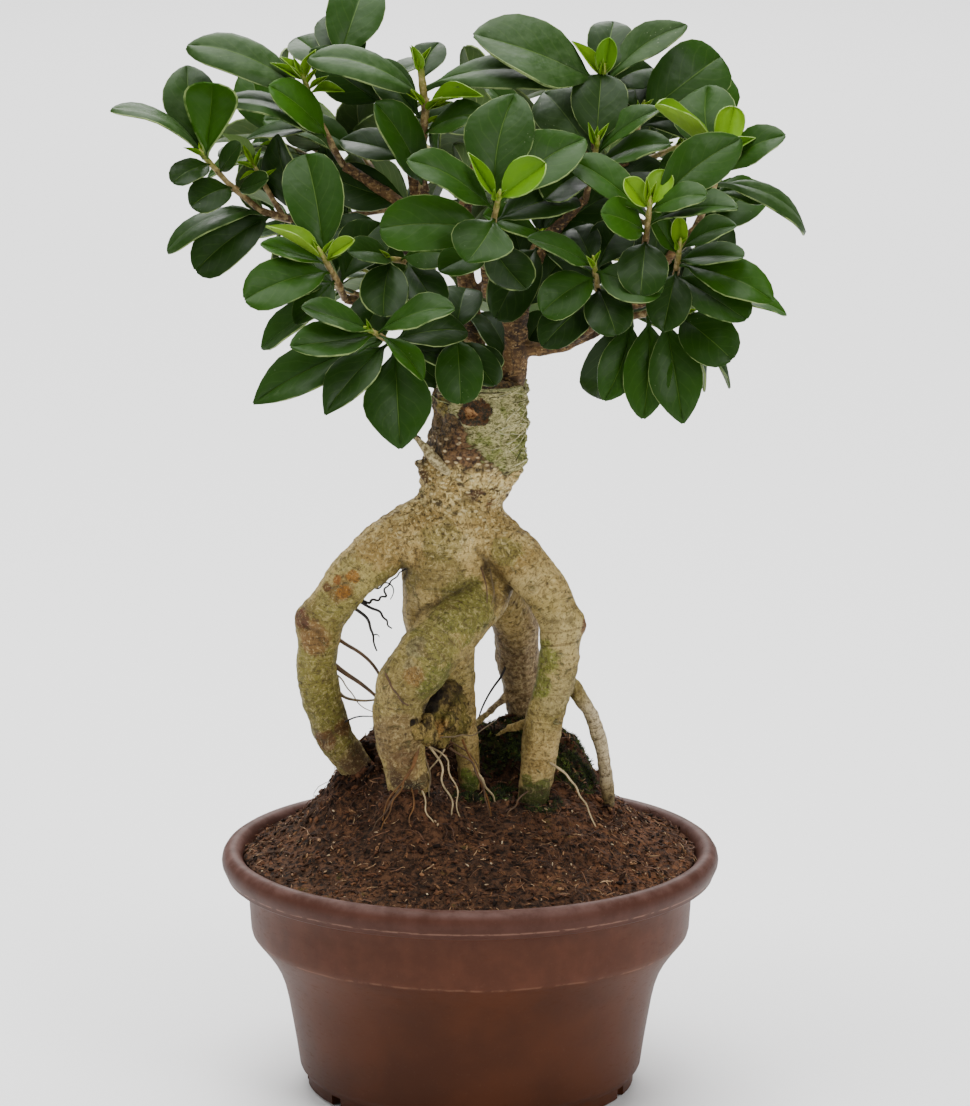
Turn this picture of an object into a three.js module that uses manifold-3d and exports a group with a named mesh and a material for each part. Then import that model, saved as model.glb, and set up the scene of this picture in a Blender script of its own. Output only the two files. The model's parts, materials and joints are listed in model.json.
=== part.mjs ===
// Ficus ginseng bonsai: a grafted fig with swollen bare roots, standing in a round nursery pot.
// Millimetres, +Z up, the usual view looks along +Y. The origin lies under the middle of the
// pot, on the surface that its foot ring stands on.

import * as THREE from 'three';
import { mergeVertices } from 'three/addons/utils/BufferGeometryUtils.js';
import Module from 'manifold-3d';

const wasm = await Module();
wasm.setup();

// Driving dimensions
const POT_RIM_RADIUS = 100;
const POT_HEIGHT = 98;
const POT_WALL = 2.2;
const POT_FACETS = 30;
const FOOT_RADIUS = 66;
const FOOT_INNER_RADIUS = 60;
const FOOT_NOTCHES = 12;
const FOOT_NOTCH_WIDTH = 6;
const FOOT_NOTCH_HEIGHT = 4;
const FOOT_NOTCH_PHASE = 6;
const FLOOR_UNDERSIDE = 4.5;
const FLOOR_TOP = 7;
const DRAIN_HOLES = 6;
const DRAIN_RADIUS = 4.5;
const DRAIN_CIRCLE = 40;
const SOIL_EDGE_HEIGHT = 94.5;
const SOIL_MOUND = 22;
const SOIL_EDGE_RADIUS = 91.5;
const MOUND_RADIUS = 88;
const ROOT_BALL_RISE = 29;
const TRUNK_TOP = 289;
const BLADE_THICKNESS = 0.8;
const TWIG_RADIUS = 1.7;
const TWIG_TAPER = 0.7;
const BUD_LENGTH = 6;
const BUD_TIP_RADIUS = 0.4;
const TWIG_SIDES = 4;
const FIT_GAP = 0.35;

// Colours
const POT_COLOUR = 0x5f3c2b;
const SOIL_COLOUR = 0x3a2619;
const ROOT_COLOUR = 0xa99b6c;
const BARK_COLOUR = 0x6b4630;
const LEAF_COLOUR = 0x33581f;

// Swollen roots and trunk, each a row of [x, y, z, radius] from the trunk down.
const ROOT_LIMBS = {
  trunk: {
    sides: 13,
    stations: [
      [4, 0, TRUNK_TOP, 17.6], [4, 0, 280, 18.2], [3, 0, 272, 18.2], [2, 0, 263, 19.2],
      [1, 0, 256, 19.6], [-1, 0, 249, 18.2], [-3, 0, 242, 16.8], [-4, 0, 235, 17.2],
      [-6, 0, 226, 19], [-8, 0, 216, 19.6], [-9, 1, 205, 18.4], [-10, 2, 193, 17.4],
      [-10, 3, 182, 15.2],
    ],
  },
  left: {
    sides: 10,
    stations: [
      [-12, 0, 231, 13.6], [-23, -3, 227, 12.4], [-34, -6, 221, 11.2], [-48, -9, 209, 9.8],
      [-59, -10, 193, 9], [-61, -9, 176, 8.4], [-59, -7, 159, 8], [-54, -5, 143, 7.6],
      [-45, -3, 130, 6.6], [-35, 0, 117, 4.8],
    ],
  },
  right: {
    sides: 10,
    stations: [
      [0, 0, 231, 12.8], [10, -4, 225, 11.2], [20, -8, 217, 10.4], [30, -12, 206, 9.6],
      [36, -14, 194, 9], [36, -14, 182, 8.2], [34, -13, 167, 8], [30, -12, 155, 7.6],
      [28, -11, 142, 7.6], [27, -10, 131, 7.2], [25, -9, 116, 6], [24, -8, 106, 4.8],
    ],
  },
  twisted: {
    sides: 10,
    stations: [
      [13, 5, 213, 9], [5, -8, 202, 10.6], [-6, -17, 192, 11.8], [-17, -23, 182, 12.6],
      [-26, -25, 169, 12], [-28, -25, 157, 10.8], [-27, -24, 143, 9.6], [-24, -22, 130, 6.8],
      [-21, -20, 118, 4],
    ],
  },
  central: {
    sides: 9,
    stations: [
      [-10, 3, 186, 14], [-8, 4, 172, 10.4], [-5, 4, 161, 7.4], [-3, 4, 148, 6.4],
      [-1, 3, 135, 5.2], [0, 2, 122, 4.4], [0, 2, 110, 4],
    ],
  },
  back: {
    sides: 10,
    stations: [
      [4, 4, 211, 9], [13, 14, 197, 9], [18, 20, 184, 9.6], [19, 26, 170, 9.2],
      [21, 30, 157, 8.4], [22, 32, 142, 7],
    ],
  },
  back_rootlet: {
    sides: 6,
    stations: [[18, 27, 154, 3.6], [11, 20, 151, 2.5], [6, 13, 148, 2.1], [1, 8, 145, 1.6]],
  },
  thin: {
    sides: 7,
    stations: [
      [35, -10, 173, 4], [42, -5, 163, 3.3], [48, 0, 153, 3.2], [53, 4, 138, 3],
      [55, 5, 124, 2.8], [56, 6, 112, 2.4],
    ],
  },
  front_rootlet: {
    sides: 6,
    stations: [[30, -10, 155, 3.2], [23, -5, 149, 2.3], [16, 0, 146, 1.8], [10, 4, 142, 1.2]],
  },
  pruned_stub: {
    sides: 6,
    stations: [[-8, -4, 244, 4], [-15, -6, 250, 3], [-20, -7, 257, 2]],
  },
};

// Scions: the leafy variety grafted on the trunk's cut top, each of several limbs that share
// wood where they fork.
const SCIONS = {
  scion_left: [
    [[-6, -3, 283, 6], [-8, -4, 295, 5.2], [-13, -5, 312, 4.6], [-17, -6, 332, 4],
      [-19, -8, 350, 3.4], [-18, -8, 364, 2.8]],
    [[-12, -5, 308, 3.4], [-19, -20, 306, 2.8], [-26, -44, 309, 2.2]],
    [[-15, -6, 322, 3.2], [-32, -18, 320, 2.8], [-48, -34, 326, 2.2]],
    [[-18, -8, 340, 3.2], [-40, -9, 346, 2.8], [-66, -14, 353, 2.2]],
    [[-18, -8, 353, 3], [-34, -6, 364, 2.6], [-49, -6, 374, 2.1]],
    [[-19, -7, 350, 2.8], [-23, -1, 372, 2.3], [-26, 2, 391, 2]],
    [[-10, -4, 302, 3], [-4, -14, 302, 2.4], [3, -24, 305, 2]],
  ],
  scion_right: [
    [[14, -2, 281, 6], [17, -3, 291, 5.8], [18.5, -4, 301, 5.2], [18, -5, 311, 4.8],
      [21, -3, 325, 4.1], [27, -1, 340, 3.6], [36, 2, 358, 3.2], [45, 3, 374, 2.8],
      [49, 2, 388, 2.3]],
    [[18, -5, 309, 3.8], [12, -8, 318, 3], [7, -14, 325, 2.6], [6, -26, 337, 2.2]],
    [[19, -4, 301, 3.8], [28, -6, 301, 3.1], [37, -8, 303, 2.9], [51, -10, 310, 2.6],
      [61, -12, 319, 2.4], [77, -16, 324, 2]],
    [[60, -12, 318, 2.5], [72, -10, 332, 2.3], [88, -6, 349, 2]],
    [[50, -10, 309, 2.5], [58, -16, 322, 2.2], [66, -26, 339, 2]],
    [[36, -8, 303, 2.6], [46, -14, 310, 2.2], [52, -20, 315, 2]],
    [[27, -1, 340, 2.7], [37, -4, 352, 2.3], [45, -8, 361, 2]],
    [[38, 2, 361, 2.6], [52, 6, 369, 2.2], [62, 8, 374, 2]],
  ],
  scion_back: [
    [[3, 9, 283, 5.6], [2, 14, 298, 4.8], [0, 22, 315, 4.2], [-3, 30, 332, 3.6],
      [-2, 34, 352, 2.8], [2, 36, 366, 2.4], [4, 36, 378, 2]],
    [[-3, 30, 331, 3.2], [-20, 38, 345, 2.8], [-38, 44, 358, 2.4], [-55, 46, 370, 2]],
    [[0, 22, 315, 3.4], [14, 34, 328, 2.8], [30, 44, 342, 2.5], [46, 50, 356, 2.2],
      [58, 52, 368, 2]],
    [[1, 18, 307, 3], [-10, 34, 310, 2.5], [-24, 50, 314, 2]],
    [[13, 33, 327, 2.7], [26, 50, 326, 2.3], [40, 62, 326, 2]],
  ],
};

// Shoots that face the usual view. Each has its twig from the branch to the bud, and leaves of
// [distance back from the bud, clock angle seen from the front with 0 to the right and 90 up,
// lean towards the viewer, length, width, upward turn of the face], in millimetres and degrees.
const FRONT_SHOOTS = {
  left_tip: {
    twig: [[-66, -14, 353], [-81, -19, 358], [-94, -23, 370], [-103, -26, 381]],
    leaves: [
      [1, 148, 14, 41, 20, 80], [2, 84, -6, 28, 22, 15], [0, 102, -30, 38, 22, 20],
      [5, 196, 50, 22, 12, 40], [18, 196, 50, 25, 15, 35], [10, 55, 20, 16, 10, 40],
      [20, 25, 30, 16, 10, 40], [33, 199, 15, 40, 19, 78], [38, 214, 19, 38, 20, 40],
    ],
  },
  left_front: {
    twig: [[-48, -34, 326], [-51, -42, 334], [-56, -50, 345]],
    leaves: [
      [1, 101, -24, 42, 24, 15], [2, 148, 12, 27, 12, 62], [5, 160, 14, 28, 12, 60],
      [9, 192, 34, 40, 20, 40], [16, 182, 36, 40, 18, 50], [18, 54, -38, 34, 20, 30],
      [2, 35, 15, 15, 8, 40], [13, 225, 40, 27, 15, 40],
    ],
  },
  low_left: {
    twig: [[-26, -44, 309], [-31, -54, 313], [-37, -62, 318]],
    leaves: [
      [2, 156, 24, 33, 17, 60], [4, 182, 30, 38, 19, 50], [8, 204, 14, 56, 22, 35],
      [13, 222, 36, 44, 19, 50], [16, 274, 28, 42, 26, 20], [3, 318, 24, 26, 12, 65],
      [3, 24, 22, 34, 17, 55], [12, 6, -20, 31, 16, 45], [17, 344, -22, 30, 15, 40],
    ],
  },
  low_centre: {
    twig: [[3, -24, 305], [-2, -34, 309], [-6, -42, 314]],
    leaves: [
      [3, 258, 24, 34, 18, 30], [1, 75, -50, 25, 16, 35], [7, 300, 44, 25, 14, 30],
      [12, 330, 40, 20, 10, 45],
    ],
  },
  inner_left: {
    twig: [[-17, -6, 336], [-24, -24, 339], [-31, -36, 342]],
    leaves: [
      [2, 262, 46, 28, 20, 35], [8, 11, 37, 28, 16, 40], [4, 160, 46, 26, 14, 40],
      [13, 308, 42, 31, 17, 35],
    ],
  },
  top_left: {
    twig: [[-49, -6, 374], [-53, -9, 381], [-60, -12, 396], [-64, -14, 409]],
    leaves: [
      [9, 154, 4, 52, 21, 52], [30, 152, 15, 47, 19, 70], [26, 134, 26, 35, 18, 45],
      [1, 135, 10, 14, 7, 50], [1, 71, 15, 14, 7, 50], [6, 5, 20, 15, 8, 50],
      [22, 192, -22, 36, 17, 60],
    ],
  },
  crest: {
    twig: [[-26, 2, 391], [-39, 5, 401], [-53, 8, 411]],
    leaves: [[1, 70, -34, 40, 23, 15], [3, 150, -48, 31, 18, 35], [10, 112, -46, 34, 20, 30]],
  },
  leader: {
    radius: 2.3,
    twig: [[-18, -8, 364], [-19, -10, 377], [-17, -13, 397], [-19, -16, 414]],
    leaves: [
      [14, 157, 8, 48, 20, 58], [7, 66, -45, 22, 14, 25], [9, 5, 4, 54, 21, 58],
      [28, 26, 36, 32, 15, 45], [16, 14, 22, 28, 12, 50], [50, 158, 24, 44, 21, 50],
      [3, 108, 20, 13, 7, 40], [38, 170, -27, 36, 18, 40], [22, 130, -26, 32, 16, 35],
    ],
  },
  centre: {
    twig: [[6, -26, 337], [8, -40, 346], [9, -52, 358], [11, -62, 369]],
    leaves: [
      [5, 80, -26, 46, 28, 15], [1, 122, -4, 24, 10, 30], [1, 38, 8, 26, 19, 35],
      [8, 145, 17, 41, 19, 50], [11, 234, 48, 26, 25, 22], [6, 35, -28, 47, 24, 30],
      [14, 14, -28, 38, 18, 45], [20, 176, 14, 44, 23, 32], [34, 192, 44, 27, 15, 35],
      [28, 314, 48, 29, 18, 30],
    ],
  },
  top_right: {
    twig: [[49, 2, 388], [51, -2, 399], [52, -6, 409]],
    leaves: [
      [4, 157, 3, 55, 23, 46], [3, 78, -40, 30, 18, 30], [1, 130, 0, 19, 9, 45],
      [1, 81, 10, 17, 10, 35], [6, 36, -12, 42, 16, 68], [11, 148, -38, 34, 18, 40],
      [9, 22, -44, 31, 18, 40],
    ],
  },
  mid_right: {
    twig: [[45, -8, 361], [47, -18, 371], [49, -26, 384]],
    leaves: [
      [2, 92, -32, 33, 23, 20], [5, 130, -33, 36, 22, 25], [6, 38, 8, 33, 15, 58],
      [12, 24, 20, 34, 16, 58], [15, 152, -40, 36, 19, 40], [10, 205, 40, 34, 18, 35],
    ],
  },
  crown_right: {
    twig: [[62, 8, 374], [65, 4, 385], [67, 0, 394]],
    leaves: [
      [3, 52, -34, 42, 28, 15], [1, 108, -50, 34, 20, 30], [7, 355, -36, 33, 19, 40],
      [11, 140, -48, 34, 19, 40],
    ],
  },
  right_tip: {
    twig: [[88, -6, 349], [94, -14, 364], [98, -22, 379]],
    leaves: [
      [12, 331, -24, 47, 17, 60], [18, 352, -24, 26, 14, 50], [8, 36, 24, 33, 17, 48],
      [3, 139, 14, 38, 16, 75], [1, 76, -24, 22, 14, 30], [1, 30, 20, 17, 9, 50],
      [4, 98, -36, 36, 26, 15], [14, 156, 36, 29, 17, 45],
    ],
  },
  right_front: {
    twig: [[66, -26, 339], [68, -38, 350], [69, -48, 364]],
    leaves: [
      [1, 64, -20, 18, 14, 35], [2, 128, 6, 16, 11, 35], [6, 144, -34, 38, 18, 55],
      [3, 24, 30, 26, 14, 50], [10, 16, 30, 40, 19, 58], [4, 38, -30, 46, 21, 35],
      [14, 150, 36, 25, 18, 35], [18, 262, 50, 27, 20, 30],
    ],
  },
  low_right: {
    twig: [[52, -20, 315], [50, -34, 327], [48, -46, 341]],
    leaves: [
      [2, 152, 24, 32, 16, 48], [7, 207, 38, 30, 18, 35], [18, 217, 32, 32, 18, 35],
      [3, 343, 28, 28, 20, 35], [13, 295, 50, 25, 19, 30], [1, 120, -48, 23, 15, 35],
      [5, 55, -42, 27, 18, 35],
    ],
  },
  far_right: {
    twig: [[77, -16, 324], [80, -26, 333], [81, -36, 346]],
    leaves: [
      [4, 122, 24, 22, 11, 50], [2, 28, 20, 26, 15, 52], [7, 8, 27, 28, 15, 52],
      [9, 344, 24, 41, 18, 46], [15, 332, 34, 36, 20, 35], [1, 91, 10, 14, 8, 35],
      [12, 254, 46, 30, 18, 35], [20, 350, -26, 44, 17, 60],
    ],
  },
  hanging: {
    twig: [[58, -12, 317], [71, -18, 318], [83, -24, 318]],
    leaves: [
      [22, 250, 26, 36, 18, 20], [15, 267, 22, 42, 20, 15], [8, 280, 22, 44, 21, 15],
      [2, 325, 36, 30, 21, 20], [3, 306, 0, 36, 14, 75], [24, 240, -24, 38, 18, 25],
    ],
  },
};

// Shoots that fill the inside, the sides and the back: [branch point], [bud point], leaves.
const FILL_SHOOTS = [
  [[-55, 46, 370], [-72, 50, 378], 4],
  [[-38, 44, 358], [-46, 62, 370], 4],
  [[-30, 41, 352], [-62, 34, 346], 4],
  [[-20, 38, 345], [-26, 64, 344], 4],
  [[4, 36, 378], [5, 50, 381], 4],
  [[0, 35, 359], [-18, 52, 374], 4],
  [[0, 35, 359], [24, 50, 374], 4],
  [[58, 52, 368], [76, 50, 374], 4],
  [[46, 50, 356], [54, 68, 360], 4],
  [[30, 44, 342], [26, 66, 344], 4],
  [[46, 50, 356], [74, 42, 342], 4],
  [[-24, 50, 314], [-42, 60, 322], 3],
  [[40, 62, 326], [58, 66, 326], 3],
  [[-10, 34, 310], [-4, 60, 316], 3],
  [[-40, -9, 346], [-52, 14, 352], 3],
  [[-60, -13, 351], [-80, 10, 352], 4],
  [[-32, -18, 320], [-54, -2, 326], 3],
  [[-34, -6, 364], [-44, 18, 378], 3],
  [[-38, -6, 367], [-74, 12, 380], 3],
  [[-16, -6, 328], [-28, -26, 331], 3],
  [[70, -14, 322], [88, 6, 322], 4],
  [[51, -10, 310], [60, 14, 314], 3],
  [[72, -10, 332], [86, 16, 340], 4],
  [[36, 2, 358], [26, 18, 372], 3],
  [[50, 5, 368], [82, 20, 378], 3],
  [[27, -1, 340], [28, -24, 350], 4],
];

// Solids and meshes

// A closed geometry as a solid, with its shared corners merged and its flat triangles dropped.
function toSolid(geometry) {
  const bare = geometry.clone();
  bare.deleteAttribute('normal');
  bare.deleteAttribute('uv');
  const merged = mergeVertices(bare, 1e-4);
  const corners = Array.from(merged.index.array);
  const triangles = [];
  for (let i = 0; i < corners.length; i += 3) {
    const [a, b, c] = corners.slice(i, i + 3);
    if (a !== b && b !== c && c !== a) {
      triangles.push(a, b, c);
    }
  }
  return new wasm.Manifold(new wasm.Mesh({
    numProp: 3,
    vertProperties: Float32Array.from(merged.attributes.position.array),
    triVerts: Uint32Array.from(triangles),
  }));
}

// A geometry from plain lists of points and of corner triples.
function geometryOf(points, triangles) {
  const geometry = new THREE.BufferGeometry();
  const flat = points.flatMap((point) => point.toArray());
  geometry.setAttribute('position', new THREE.Float32BufferAttribute(flat, 3));
  geometry.setIndex(triangles);
  return geometry;
}

function union(solids) {
  return solids.reduce((sum, solid) => sum.add(solid));
}

// The largest body of a solid, without the scraps that a cut leaves.
function mainBody(solid) {
  const bodies = solid.decompose();
  return bodies.reduce((best, body) => (body.volume() > best.volume() ? body : best));
}

function toMesh(name, solid, colour, roughness, metalness = 0) {
  const { vertProperties, triVerts } = mainBody(solid).getMesh();
  const geometry = new THREE.BufferGeometry();
  geometry.setAttribute('position', new THREE.BufferAttribute(Float32Array.from(vertProperties), 3));
  geometry.setIndex(Array.from(triVerts));
  geometry.computeVertexNormals();
  const material = new THREE.MeshStandardMaterial({ color: colour, roughness, metalness });
  const mesh = new THREE.Mesh(geometry, material);
  mesh.name = name;
  return mesh;
}

// Limbs

// Rings of a limb: one at each station, square to a smooth curve through them all.
function limbRings(stations) {
  const centres = stations.map(([x, y, z]) => new THREE.Vector3(x, y, z));
  const path = new THREE.CatmullRomCurve3(centres);
  return stations.map(([, , , radius], i) => {
    const tangent = path.getTangent(i / (stations.length - 1));
    return { centre: centres[i], tangent, radius };
  });
}

// A round body along rings. grow makes it thicker and longer, for the hole that it stands in.
function sweep(rings, sides, grow = 0) {
  const points = [];
  const triangles = [];
  let across = new THREE.Vector3(0.37, 0.91, 0.19);
  rings.forEach(({ centre, tangent, radius }, ring) => {
    across = across.clone().addScaledVector(tangent, -across.dot(tangent)).normalize();
    const side = new THREE.Vector3().crossVectors(tangent, across);
    const shift = ring === 0 ? -grow : ring === rings.length - 1 ? grow : 0;
    for (let k = 0; k < sides; k += 1) {
      const angle = (2 * Math.PI * k) / sides;
      points.push(centre.clone()
        .addScaledVector(tangent, shift)
        .addScaledVector(across, (radius + grow) * Math.cos(angle))
        .addScaledVector(side, (radius + grow) * Math.sin(angle)));
    }
  });
  for (let ring = 0; ring < rings.length - 1; ring += 1) {
    for (let k = 0; k < sides; k += 1) {
      const next = (k + 1) % sides;
      const a = ring * sides + k;
      const b = ring * sides + next;
      triangles.push(a, b, b + sides, a, b + sides, a + sides);
    }
  }
  const last = (rings.length - 1) * sides;
  for (let k = 1; k < sides - 1; k += 1) {
    triangles.push(0, k + 1, k, last, last + k, last + k + 1);
  }
  return toSolid(geometryOf(points, triangles));
}

function limb(stations, sides, grow = 0) {
  return sweep(limbRings(stations), sides, grow);
}

// Pot

// The wall's outline from the middle of the underside, out over the foot, up and back inside.
function potOutline() {
  const outside = [
    [0, FLOOR_UNDERSIDE], [FOOT_INNER_RADIUS, FLOOR_UNDERSIDE], [FOOT_INNER_RADIUS + 0.5, 0],
    [FOOT_RADIUS, 0], [FOOT_RADIUS + 0.2, 4.4], [68.2, 7.5], [69.8, 18], [72.9, 36],
    [76.6, 47.5], [82.9, 57], [87.6, 63.6], [89.6, 78], [89.8, 86],
    [97.4, 86.6], [POT_RIM_RADIUS, 92.5], [98.4, 97], [95.4, POT_HEIGHT], [92.2, 95.8],
  ];
  const inside = [
    [89.8 - POT_WALL, 84.5], [87.6 - POT_WALL, 66.5], [82.9 - POT_WALL, 60],
    [76 - POT_WALL, 49.5], [72.7 - POT_WALL, 37], [68.4 - POT_WALL, FLOOR_TOP + 1.5],
    [66 - POT_WALL, FLOOR_TOP], [0, FLOOR_TOP],
  ];
  return { outside, inside };
}

function makePot() {
  const { outside, inside } = potOutline();
  const outline = [...outside, ...inside].map(([r, z]) => new THREE.Vector2(r, z));
  const lathe = new THREE.LatheGeometry(outline, POT_FACETS);
  lathe.rotateX(Math.PI / 2);
  let pot = toSolid(lathe);
  for (let i = 0; i < FOOT_NOTCHES; i += 1) {
    const turn = THREE.MathUtils.degToRad((360 / FOOT_NOTCHES) * i + FOOT_NOTCH_PHASE - 90);
    const notch = new THREE.BoxGeometry(12, FOOT_NOTCH_WIDTH, 2 * FOOT_NOTCH_HEIGHT);
    notch.translate((FOOT_RADIUS + FOOT_INNER_RADIUS) / 2, 0, 0);
    notch.rotateZ(turn);
    pot = pot.subtract(toSolid(notch));
  }
  for (let i = 0; i < DRAIN_HOLES; i += 1) {
    const turn = (2 * Math.PI * (i + 0.5)) / DRAIN_HOLES;
    const hole = new THREE.CylinderGeometry(DRAIN_RADIUS, DRAIN_RADIUS, 4 * FLOOR_TOP, 6);
    hole.rotateX(Math.PI / 2);
    hole.translate(DRAIN_CIRCLE * Math.cos(turn), DRAIN_CIRCLE * Math.sin(turn), 0);
    pot = pot.subtract(toSolid(hole));
  }
  return pot;
}

// Soil

function bump(x, y, [cx, cy], spread) {
  return Math.exp(-((x - cx) ** 2 + (y - cy) ** 2) / spread ** 2);
}

// Height of the soil: a low mound, the old root ball standing out of it behind the roots, and
// soil heaped against the left root, the twisted root and the right root.
function soilHeight(x, y) {
  const reach = Math.hypot(x, y) / MOUND_RADIUS;
  const mound = SOIL_MOUND * (1 - Math.min(reach, 1) ** 2);
  const ballWidth = 1 / (1 + (Math.abs(x - 2) / 47) ** 8);
  const ball = ROOT_BALL_RISE * ballWidth * Math.exp(-(((y - 27) / 19) ** 2)) * (1 + 0.004 * x);
  const heap = 23 * bump(x, y, [-43, 5], 20) + 9 * bump(x, y, [-22, -20], 15);
  const shoulder = 5 * bump(x, y, [34, -14], 24);
  const offRim = Math.min(1, 4 * (1 - Math.min(reach, 1)));
  const crumbs = 0.8 * offRim * Math.sin(0.31 * x + 1.3) * Math.sin(0.27 * y - 0.6);
  return SOIL_EDGE_HEIGHT + mound + ball + heap + shoulder + crumbs;
}

// The soil fills the pot's inside up to its own surface, a fit gap off the wall.
function makeSoil(rootHoles) {
  const wall = potOutline().inside.slice(0, -1).reverse();
  const edge = wall.map(([r, z]) => [r - FIT_GAP, Math.max(z, FLOOR_TOP + FIT_GAP)]);
  const rings = edge.map(([r, z]) => ({ r, height: () => z }));
  [SOIL_EDGE_RADIUS - FIT_GAP, 80, 69, 59, 50, 41, 32, 22, 11].forEach((r) => {
    rings.push({ r, height: soilHeight });
  });
  const points = [];
  rings.forEach(({ r, height }) => {
    for (let k = 0; k < POT_FACETS; k += 1) {
      const angle = (2 * Math.PI * k) / POT_FACETS;
      const x = r * Math.sin(angle);
      const y = r * Math.cos(angle);
      points.push(new THREE.Vector3(x, y, height(x, y)));
    }
  });
  const triangles = [];
  for (let ring = 0; ring < rings.length - 1; ring += 1) {
    for (let k = 0; k < POT_FACETS; k += 1) {
      const a = ring * POT_FACETS + k;
      const b = ring * POT_FACETS + ((k + 1) % POT_FACETS);
      triangles.push(a, b + POT_FACETS, b, a, a + POT_FACETS, b + POT_FACETS);
    }
  }
  const bottom = points.push(new THREE.Vector3(0, 0, FLOOR_TOP + FIT_GAP)) - 1;
  const top = points.push(new THREE.Vector3(0, 0, soilHeight(0, 0))) - 1;
  const lastRing = (rings.length - 1) * POT_FACETS;
  for (let k = 0; k < POT_FACETS; k += 1) {
    const next = (k + 1) % POT_FACETS;
    triangles.push(bottom, k, next, top, lastRing + next, lastRing + k);
  }
  return toSolid(geometryOf(points, triangles)).subtract(rootHoles);
}

// Rootstock and scions

function makeRootstock(grow = 0) {
  return union(Object.values(ROOT_LIMBS).map(({ stations, sides }) => limb(stations, sides, grow)));
}

const THICK_LIMB = 4.5;

function makeScion(limbs, grow = 0) {
  return union(limbs.map((stations) => limb(stations, stations[0][3] > THICK_LIMB ? 8 : 5, grow)));
}

// Shoots

const direction = (clock, lean) => {
  const c = THREE.MathUtils.degToRad(clock);
  const l = THREE.MathUtils.degToRad(lean);
  return new THREE.Vector3(Math.cos(c) * Math.cos(l), -Math.sin(l), Math.sin(c) * Math.cos(l));
};

// The point of a twig that lies a distance back from its bud.
function pointOnTwig(twig, back) {
  let left = back;
  for (let i = twig.length - 1; i > 0; i -= 1) {
    const step = twig[i].distanceTo(twig[i - 1]);
    if (left <= step) {
      return twig[i].clone().lerp(twig[i - 1], left / step);
    }
    left -= step;
  }
  return twig[0].clone();
}

// Where a shoot starts: the nearest point of the limbs' axes, moved out to the bark, and the way
// that the seat faces. At the end of a limb the twig carries straight on.
function seatOnLimb(limbs, start, next) {
  let best = { distance: Infinity };
  limbs.forEach((rings) => {
    for (let i = 1; i < rings.length; i += 1) {
      const axis = new THREE.Line3(rings[i - 1].centre, rings[i].centre);
      const share = axis.closestPointToPointParameter(start, true);
      const centre = axis.at(share, new THREE.Vector3());
      const distance = centre.distanceTo(start);
      if (distance < best.distance) {
        const tangent = axis.delta(new THREE.Vector3()).normalize();
        const radius = THREE.MathUtils.lerp(rings[i - 1].radius, rings[i].radius, share);
        const atEnd = i === rings.length - 1 && share > 0.9;
        best = { distance, centre, tangent, radius, end: atEnd ? rings[i] : null };
      }
    }
  });
  if (best.end) {
    const { centre, tangent } = best.end;
    return { point: centre.clone().addScaledVector(tangent, FIT_GAP), facing: tangent };
  }
  const facing = next.clone().sub(best.centre);
  facing.addScaledVector(best.tangent, -facing.dot(best.tangent)).normalize();
  return { point: best.centre.clone().addScaledVector(facing, best.radius + FIT_GAP), facing };
}

// A twig tapers from its seat on the limb to a pointed bud.
function makeTwig(twig, facing, thickness) {
  const rings = twig.map((centre, i) => {
    const after = twig[Math.min(i + 1, twig.length - 1)];
    const before = twig[Math.max(i - 1, 0)];
    const tangent = i === 0 ? facing : after.clone().sub(before).normalize();
    const share = i / (twig.length - 1);
    const radius = THREE.MathUtils.lerp(thickness, thickness * TWIG_TAPER, share);
    return { centre, tangent, radius };
  });
  const end = rings[rings.length - 1];
  const budTip = end.centre.clone().addScaledVector(end.tangent, BUD_LENGTH);
  rings.push({ centre: budTip, tangent: end.tangent, radius: BUD_TIP_RADIUS });
  return sweep(rings, TWIG_SIDES);
}

// Blade outlines: share of the length and share of the full width at each cross-section. The
// fine one has a petiole and is folded along its midrib.
const FINE_BLADE = [[0.12, 0.07], [0.39, 0.95], [0.8, 0.88]];
const PLAIN_BLADE = [[0.34, 0.88], [0.77, 0.93]];
const FINE_FROM_LENGTH = 30;
const BLADE_ARCH = 0.09;
const BLADE_FOLD = 0.16;
const PETIOLE_WIDTH = 1.3;

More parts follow.
